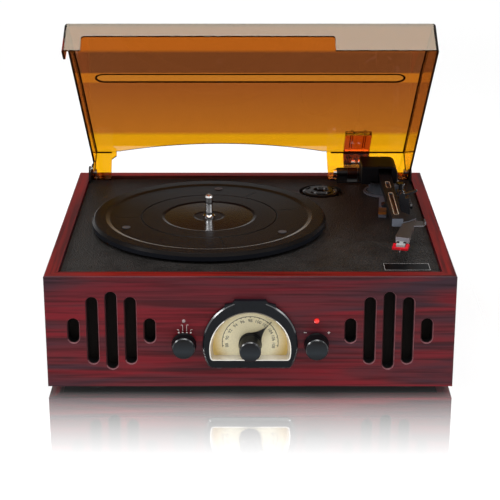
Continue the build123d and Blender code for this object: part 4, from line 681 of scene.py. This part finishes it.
def add_rim(grid, outer, inner, low, high, turn=Matrix.Identity(4)):
    """Adds a raised rim between two outlines with equally many points."""
    rings = [[grid.verts.new(turn @ Vector((x, y, z))) for x, y in line]
             for line, z in ((outer, low), (outer, high), (inner, high), (inner, low))]
    count = len(outer)
    for first, second in zip(rings, rings[1:] + rings[:1]):
        for i in range(count):
            j = (i + 1) % count
            grid.faces.new((first[i], first[j], second[j], second[i]))


# The corners of the flute and of the cover's inner folds are drawn as dark lines: painted shade
# where the clear walls bend.
OPEN = CLOSE.inverted()
FLUTE_HALF_L = 152 * MM
FLUTE_HALF_W = 9 * MM
FLUTE_Y = -27.8 * MM
FLUTE_FLOOR = 146.62 * MM
COVER_TOP = 147.46 * MM
FOLD_LINE = 1.3 * MM
FLUTE_LINE = 2.0 * MM
grid = bmesh.new()
along_x = OPEN @ Matrix.Translation((0, FLUTE_Y, 0)) @ Matrix.Rotation(pi / 2, 4, "Z")
add_rim(grid, slot_outline(0, -FLUTE_HALF_L, FLUTE_HALF_L, FLUTE_HALF_W),
        slot_outline(0, -FLUTE_HALF_L + FLUTE_LINE, FLUTE_HALF_L - FLUTE_LINE,
                     FLUTE_HALF_W - FLUTE_LINE),
        FLUTE_FLOOR, COVER_TOP, along_x)
piece_from("cover_flute_shade_line", grid, "lid", edge_painted_shade)


def add_bar(grid, start, end, thickness, turn):
    """Adds a square bar between two points, its sides level or across, then turned."""
    start, end = Vector(start) * MM, Vector(end) * MM
    run = (end - start).normalized()
    side = (Vector((0, 0, 1)).cross(run)).normalized() * thickness / 2
    rise = run.cross(side).normalized() * thickness / 2
    corners = (side + rise, rise - side, -side - rise, side - rise)
    add_prism(grid, *[[turn @ (point + corner) for corner in corners] for point in (start, end)])


FOLD_X = 165.5
FOLD_SIDE = ((-141.8, 137.4), (-38.5, 144.8), (140.2, 144.8))
FOLD_REAR = (140.3, 144.8)
FOLD_REAR_RUNS = ((-FOLD_X, -149.4), (87.0, FOLD_X))
grid = bmesh.new()
for side in (-1, 1):
    for start, end in zip(FOLD_SIDE, FOLD_SIDE[1:]):
        add_bar(grid, (side * FOLD_X, *start), (side * FOLD_X, *end), FOLD_LINE, OPEN)
for x0, x1 in FOLD_REAR_RUNS:
    add_bar(grid, (x0, *FOLD_REAR), (x1, *FOLD_REAR), FOLD_LINE, OPEN)
piece_from("cover_fold_shade_lines", grid, "lid", edge_painted_shade)

# Tonearm. A dark grey plastic collar fixed to the deck, a black housing that turns on it, and a
# moulded black arm on a cross pin in the housing. The arm's two troughs have pale lips, a painted
# highlight on their ridges, and a brown floor, a painted reflection of the amber cover.
dress(satin_plastic("housing_gloss_black", tint(15, 15, 17), 0.42, 0.00001, specular=0.04),
      "tonearm_yoke")
dress(satin_plastic("collar_grey", tint(60, 63, 70), 0.26, specular=0.3), "tonearm_base")
dress(satin_plastic("arm_black", tint(24, 24, 26), 0.36, specular=0.06), "tonearm_tube")
# The arm's front-facing faces are painted light grey: a painted highlight where they face the
# light.
paint_faces(satin_plastic("arm_end_painted_light", tint(104, 108, 118), 0.34), "tonearm_tube",
            lambda place, normal: normal.y < -0.7)
ARM_MIDDLE = 139.5 * MM
ARM_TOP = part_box("tonearm_tube")[1].z
TROUGH_HALF = 2.5 * MM
TROUGH_DEPTH = 2 * MM
# The troughs' floors are painted brown gold: a painted reflection of the amber cover.
paint_faces(satin_plastic("trough_painted_reflection", tint(66, 48, 36), 0.4), "tonearm_tube",
            lambda place, normal: normal.z > 0.9 and place.z < ARM_TOP - TROUGH_DEPTH
            and abs(place.x - ARM_MIDDLE) < TROUGH_HALF)
TROUGHS = ((-52 * MM, 18 * MM), (33 * MM, 55 * MM))
LIP = 0.65 * MM
LIP_LOW = ARM_TOP - 0.8 * MM
LIP_HIGH = ARM_TOP - 0.02 * MM
grid = bmesh.new()
for y0, y1 in TROUGHS:
    add_rim(grid, slot_outline(ARM_MIDDLE, y0, y1, TROUGH_HALF),
            slot_outline(ARM_MIDDLE, y0 + LIP, y1 - LIP, TROUGH_HALF - LIP), LIP_LOW, LIP_HIGH)
piece_from("trough_highlight_lips", grid, "tonearm", satin_plastic("trough_lip_painted_highlight", tint(168, 156, 138), 0.25))

# Headshell and pickup. A dark brown plate with a finger lift carries a grey cartridge, whose
# red plastic carrier holds the stylus cantilever.
dress(satin_plastic("headshell_brown", tint(50, 44, 40), 0.32, specular=0.12), "headshell")
paint_faces(satin_plastic("headshell_edge", tint(128, 126, 132), 0.3), "headshell",
            lambda place, normal: normal.y < -0.7)
cartridge_grey = satin_plastic("cartridge_grey", tint(150, 152, 152), 0.35)
dress(cartridge_grey, "cartridge")
SHELL_AT = (139.9 * MM, -106 * MM, 0)
SHELL_TURN = Matrix.Translation(SHELL_AT) @ Matrix.Rotation(radians(-13.3), 4, "Z")
CARTRIDGE_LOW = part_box("cartridge")[0].z
NOSE_HALF = 4.1 * MM
NOSE_ALONG = (-9.6 * MM, -0.8 * MM)
NOSE_LOW = CARTRIDGE_LOW + 0.7 * MM
NOSE_HIGH = CARTRIDGE_LOW + 4.6 * MM
NOTCH_X = 3.0 * MM
NOTCH_HALF = 1.1 * MM
NOTCH_ALONG = (-5.5 * MM, -1.4 * MM)
NOTCH_LOW = CARTRIDGE_LOW + 3.0 * MM
NOTCH_HIGH = CARTRIDGE_LOW + 4.8 * MM
grid = bmesh.new()
add_slab(grid, box_outline(-NOSE_HALF, NOSE_HALF, *NOSE_ALONG), NOSE_LOW, NOSE_HIGH, SHELL_TURN)
piece_from("cartridge_nose", grid, "tonearm", cartridge_grey, 0.5 * MM)
# The cartridge's two notches are drawn as black slabs, a painted shade for their recesses.
grid = bmesh.new()
for side in (-NOTCH_X, NOTCH_X):
    add_slab(grid, box_outline(side - NOTCH_HALF, side + NOTCH_HALF, *NOTCH_ALONG),
             NOTCH_LOW, NOTCH_HIGH, SHELL_TURN)
piece_from("cartridge_notches", grid, "tonearm", shade_and_seam_black)
dress(satin_plastic("carrier_red", tint(184, 16, 30), 0.3), "stylus_carrier")
dress(bare_metal("cantilever_alloy", tint(190, 190, 194), 0.25), "stylus")

# Arm rest, lift and levers. Polished black mouldings beside the arm, screwed or clipped to the
# deck, with a curved lift bar under the arm and a long flat speed lever whose paddle is painted
# brown, a painted reflection of the amber cover.
dress(satin_plastic("rest_black", tint(30, 31, 35), 0.24, specular=0.5),
      "arm_rest", "lift_housing", "arm_clip")
dress(satin_plastic("lift_bar_black", tint(24, 25, 28), 0.2, specular=0.6), "lift_bar", "cue_lever")
dress(satin_plastic("speed_lever_grey", tint(88, 90, 100), 0.3), "speed_lever")
PADDLE_REAR = 40 * MM
PADDLE_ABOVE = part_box("deck_plate")[1].z + 1.9 * MM
paint_faces(satin_plastic("paddle_painted_reflection", tint(104, 70, 30), 0.3), "speed_lever",
            lambda place, normal: place.y < PADDLE_REAR and place.z > PADDLE_ABOVE
            and normal.z > 0.3)

# Dial. A glossy black bezel and cup in one moulding, a bright inner rim, and a cream plate printed
# with a plain scale of numbers. The pointer is pushed on the tuning shaft behind the knob.
dress(satin_plastic("bezel_gloss_black", tint(13, 17, 22), 0.17, 0.00001, specular=0.12),
      "dial_bezel")
RIM_UPPER = 72 * MM
rim_silver = bare_metal("rim_silver", tint(232, 228, 220), 0.22)
rim_shade = bare_metal("rim_silver_shaded", tint(128, 122, 108), 0.22)
for plating in (rim_silver, rim_shade):
    plating.set("Metallic", 0.6)
dress(rim_silver, "dial_rim")
paint_faces(rim_shade, "dial_rim",
            lambda place, normal: normal.z < -0.45 or (normal.y < -0.9 and place.z > RIM_UPPER))
edge_gloss = satin_plastic("bezel_edge_gloss", tint(24, 27, 32), 0.2, 0.00001, specular=1.0)
paint_faces(edge_gloss, "dial_bezel", lambda place, normal: -0.95 < normal.y < -0.3)

# The cream is painted a little darker and more golden towards the plate's edge: painted shade under
# the bezel.
PLATE_SHADE_REACH = 40 * MM
PLATE_SHADE_HEIGHT = 52 * MM
cream = Finish("dial_cream", 0.45)
even = cream.ramp(cream.noise(26, 4.0), (0.3, tint(236, 224, 182)), (0.7, tint(246, 237, 204)))
flecks = cream.ramp(cream.noise(700, 3.0), (0.35, tint(150, 126, 66)), (0.6, tint(255, 250, 230)))
aged = cream.blend(0.12, even, flecks, "MULTIPLY")
plate_low, plate_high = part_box("dial_plate")
plate_middle = (plate_low + plate_high) / 2
fade = cream.nodes.new("ShaderNodeTexGradient")
fade.gradient_type = "SPHERICAL"
centred = cream.nodes.new("ShaderNodeMapping")
centred.inputs["Location"].default_value = [
    -part / PLATE_SHADE_REACH for part in (plate_middle.x, plate_middle.y, PLATE_SHADE_HEIGHT)]
centred.inputs["Scale"].default_value = [1 / PLATE_SHADE_REACH] * 3
cream.links.new(cream.place((1, 1, 1)), centred.inputs["Vector"])
cream.links.new(centred.outputs["Vector"], fade.inputs["Vector"])
plate_edge_shade = cream.ramp(fade.outputs["Fac"], (0.16, tint(214, 186, 116)), (0.42, tint(255, 255, 255)))
cream.feed(cream.blend(1.0, aged, plate_edge_shade, "MULTIPLY"), "Base Color")
dress(cream, "dial_plate")

DIAL_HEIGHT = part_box("tuning_knob")[0].z / 2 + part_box("tuning_knob")[1].z / 2
DIAL_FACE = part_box("dial_plate")[0].y
SCALE_R = 25.4 * MM
SCALE_START = 190.0
SCALE_END = -10.0
SCALE_STEPS = 60
LINE_W = 0.55 * MM
NUMBER_R = 21.3 * MM
NUMBER_SIZE = 4.1 * MM
NUMBERS_START = 187.0
NUMBERS_SWEEP = 194.0
LONG_TICK = 1.3 * MM
SHORT_TICK = 0.8 * MM
ink = mottled("scale_ink", 0.5, 800, 3.0, tint(4, 4, 4), tint(14, 12, 10), (0.3, 0.8))


def on_dial(radius, angle):
    return radius * cos(radians(angle)), radius * sin(radians(angle))


def on_front(y, z=0.0):
    """A plane on the front at depth y: its X runs right, its Y up and its Z towards the viewer."""
    return Matrix.Translation((0, y, z)) @ Matrix.Rotation(pi / 2, 4, "X")


dial_plane = on_front(DIAL_FACE, DIAL_HEIGHT)
grid = bmesh.new()
sweep = [SCALE_START + (SCALE_END - SCALE_START) * i / SCALE_STEPS for i in range(SCALE_STEPS + 1)]
arc = [on_dial(SCALE_R + LINE_W / 2, a) for a in sweep]
arc += [on_dial(SCALE_R - LINE_W / 2, a) for a in reversed(sweep)]
for i in range(SCALE_STEPS):
    quad = [arc[i], arc[i + 1], arc[-i - 2], arc[-i - 1]]
    add_slab(grid, list(reversed(quad)), 0, PRINT_T, dial_plane)
numbers = list(range(88, 109, 2))
last_tick = 2 * len(numbers) - 2
for i in range(last_tick + 1):
    length = SHORT_TICK if i % 2 else LONG_TICK
    turn = Matrix.Rotation(radians(NUMBERS_START - NUMBERS_SWEEP * i / last_tick), 4, "Z")
    add_slab(grid, box_outline(SCALE_R - length, SCALE_R, -LINE_W / 2, LINE_W / 2),
             PRINT_T * 0.5, PRINT_T, dial_plane @ turn)
piece_from("dial_scale_lines", grid, "chassis", ink)


def printed_text(name, text, size, place, body, finish):
    """Text as a thin raised print, centred on its place."""
    curve = bpy.data.curves.new(name, "FONT")
    curve.body = text
    curve.align_x = "CENTER"
    curve.align_y = "CENTER"
    curve.extrude = PRINT_T / 2
    source = bpy.data.objects.new(name, curve)
    mesh = bpy.data.meshes.new_from_object(source)
    bpy.data.objects.remove(source)
    mesh.transform(place @ Matrix.Diagonal((size, size, 1, 1)))
    piece = bpy.data.objects.new(name, mesh)
    scene.collection.objects.link(piece)
    dress(finish, piece)
    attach(piece, body)


for i, number in enumerate(numbers):
    angle = NUMBERS_START - NUMBERS_SWEEP * i / (len(numbers) - 1)
    middle = Matrix.Translation((*on_dial(NUMBER_R, angle), PRINT_T / 2))
    place = dial_plane @ middle @ Matrix.Rotation(radians(angle - 90), 4, "Z")
    printed_text(f"dial_number_{number}", str(number), NUMBER_SIZE, place, "chassis", ink)

# Knobs and pointer. Three knobs of glossy black plastic with rounded edges, pushed on their shafts.
# The black pointer lies between the dial plate and the tuning knob and turns with the knob.
KNOB_EDGE = 3 * MM
KNOB_PAINTED_SHEEN = (40 * MM, 56 * MM)
knobs = ("selector_knob", "volume_knob", "tuning_knob")
dress(satin_plastic("knob_gloss_black", tint(11, 12, 14), 0.34, 0.00001, specular=0.05), *knobs)
knob_edge = satin_plastic("knob_edge_gloss", tint(18, 21, 25), 0.2, 0.00001, specular=0.55)
# The knobs' front faces are painted lighter low down and darker at the top: a painted sheen and
# shade.
knob_face_painted = Finish("knob_face_painted_sheen", 0.22, specular=0.14)
knob_rise = knob_face_painted.span(knob_face_painted.coordinate("Z"), 0.0, 1.0, KNOB_PAINTED_SHEEN)
knob_face_painted.feed(knob_face_painted.ramp(knob_rise, (0.0, tint(22, 25, 29)), (0.35, tint(36, 42, 47)),
                              (1.0, tint(9, 9, 11))), "Base Color")
for name in knobs:
    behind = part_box(name)[0].y + KNOB_EDGE
    paint_faces(knob_edge, name,
                lambda place, normal: -0.95 < normal.y < -0.3 and place.y < behind)
    paint_faces(knob_face_painted, name, lambda place, normal: normal.y < -0.95 and place.y < behind)
dress(satin_plastic("pointer_black", tint(20, 18, 17), 0.35), "dial_pointer")

# Indicator lamps. A red lamp of tinted epoxy, lit, and a small clear one, unlit, push-fitted in
# the front. Each is one solid dome.
lamps = Finish("lamp_epoxy", 0.15)
is_red = maths(lamps.nodes, lamps.links, "GREATER_THAN", lamps.coordinate("X"), 0.0)
lamps.feed(lamps.blend(is_red, tint(150, 130, 130), tint(214, 34, 30)), "Base Color")
lamps.feed(lamps.blend(is_red, (0.0, 0.0, 0.0, 1), tint(255, 48, 36)), "Emission Color")
lamps.set("Emission Strength", 0.3)
dress(lamps, "indicator_lamps")

# Printed marks. Thin pale silk-screen ink on the front: minus and plus beside the volume knob, four
# dots and their leader lines over the selector knob.
FRONT_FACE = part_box("front_panel")[0].y
RIM_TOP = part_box("front_panel")[1].z
MARK_Z = RIM_TOP - 54.4 * MM
MINUS_X = 49.8 * MM
PLUS_X = 71.1 * MM
MARK_HALF = 1.25 * MM
MARK_W = 0.45 * MM
DOT_R = 0.75 * MM
LEADER_W = 0.32 * MM
LEADER_GAP = 1.4 * MM
LEADERS = ((-64.6, 51.6, -1.6), (-61.0, 47.0, -1.6), (-57.4, 47.0, 1.6), (-53.8, 51.6, 1.6))
pale_ink = mottled("pale_ink", 0.5, 900, 3.0, tint(196, 188, 184), tint(236, 230, 226))
front_plane = on_front(FRONT_FACE)
grid = bmesh.new()
for x in (MINUS_X, PLUS_X):
    level = box_outline(x - MARK_HALF, x + MARK_HALF, MARK_Z - MARK_W / 2, MARK_Z + MARK_W / 2)
    add_slab(grid, level, 0, PRINT_T, front_plane)
upright = box_outline(PLUS_X - MARK_W / 2, PLUS_X + MARK_W / 2,
                      MARK_Z - MARK_HALF, MARK_Z + MARK_HALF)
add_slab(grid, upright, 0, PRINT_T * 1.2, front_plane)
for x, down, hook in LEADERS:
    x *= MM
    top = RIM_TOP - down * MM
    dot = [(x + DOT_R * cos(i * pi / 8), MARK_Z + DOT_R * sin(i * pi / 8)) for i in range(16)]
    stem = box_outline(x - LEADER_W / 2, x + LEADER_W / 2, MARK_Z + LEADER_GAP, top)
    turned_end = box_outline(*sorted((x, x + hook * MM)), top, top + LEADER_W)
    for outline in (dot, stem, turned_end):
        add_slab(grid, outline, 0, PRINT_T, front_plane)
piece_from("front_marks", grid, "chassis", pale_ink)

# Speakers. Black woven cloth lies over the slots on the inside. Behind it a dark paper cone stands
# in a pressed steel basket with its magnet.
cloth = Finish("speaker_cloth", 0.95, specular=0.2)
threads = cloth.nodes.new("ShaderNodeTexWave")
threads.inputs["Scale"].default_value = 900
cloth.links.new(cloth.place((1, 1, 1)), threads.inputs["Vector"])
weave = threads.outputs["Fac"]
cloth.feed(cloth.ramp(weave, (0.2, tint(12, 10, 9)), (0.8, tint(36, 30, 27))), "Base Color")
cloth.bump(weave, 0.0001)
dress(cloth, "speaker_cloths")
dress(bare_metal("basket_steel", tint(120, 122, 126), 0.4), "speaker_frames")
dress(mottled("cone_paper", 0.9, 350, 6.0, tint(26, 26, 28), tint(48, 48, 50), bump=0.0001),
      "speaker_cones")

# Electronics and sockets. A green circuit board on nylon standoffs, panel controls behind the
# knobs, a tuning capacitor, and a black socket plate with plated phono barrels at the rear.
solder = Finish("board_green", 0.35)
tracks = solder.cells(160, "DISTANCE_TO_EDGE")
solder.feed(solder.ramp(tracks, (0.0, tint(66, 128, 70)), (0.08, tint(18, 74, 40))), "Base Color")
dress(solder, "circuit_board")
dress(satin_plastic("standoff_nylon", tint(206, 202, 190), 0.45), "board_standoffs")
dress(bare_metal("control_case", tint(168, 170, 172), 0.3), "rotary_controls")
dress(satin_plastic("capacitor_case", tint(196, 196, 188), 0.4), "tuning_capacitor")
dress(satin_plastic("socket_plate_black", tint(20, 20, 20), 0.45, 0.00004), "socket_plate")
dress(bare_metal("socket_nickel", tint(198, 192, 178), 0.25), "rear_sockets")
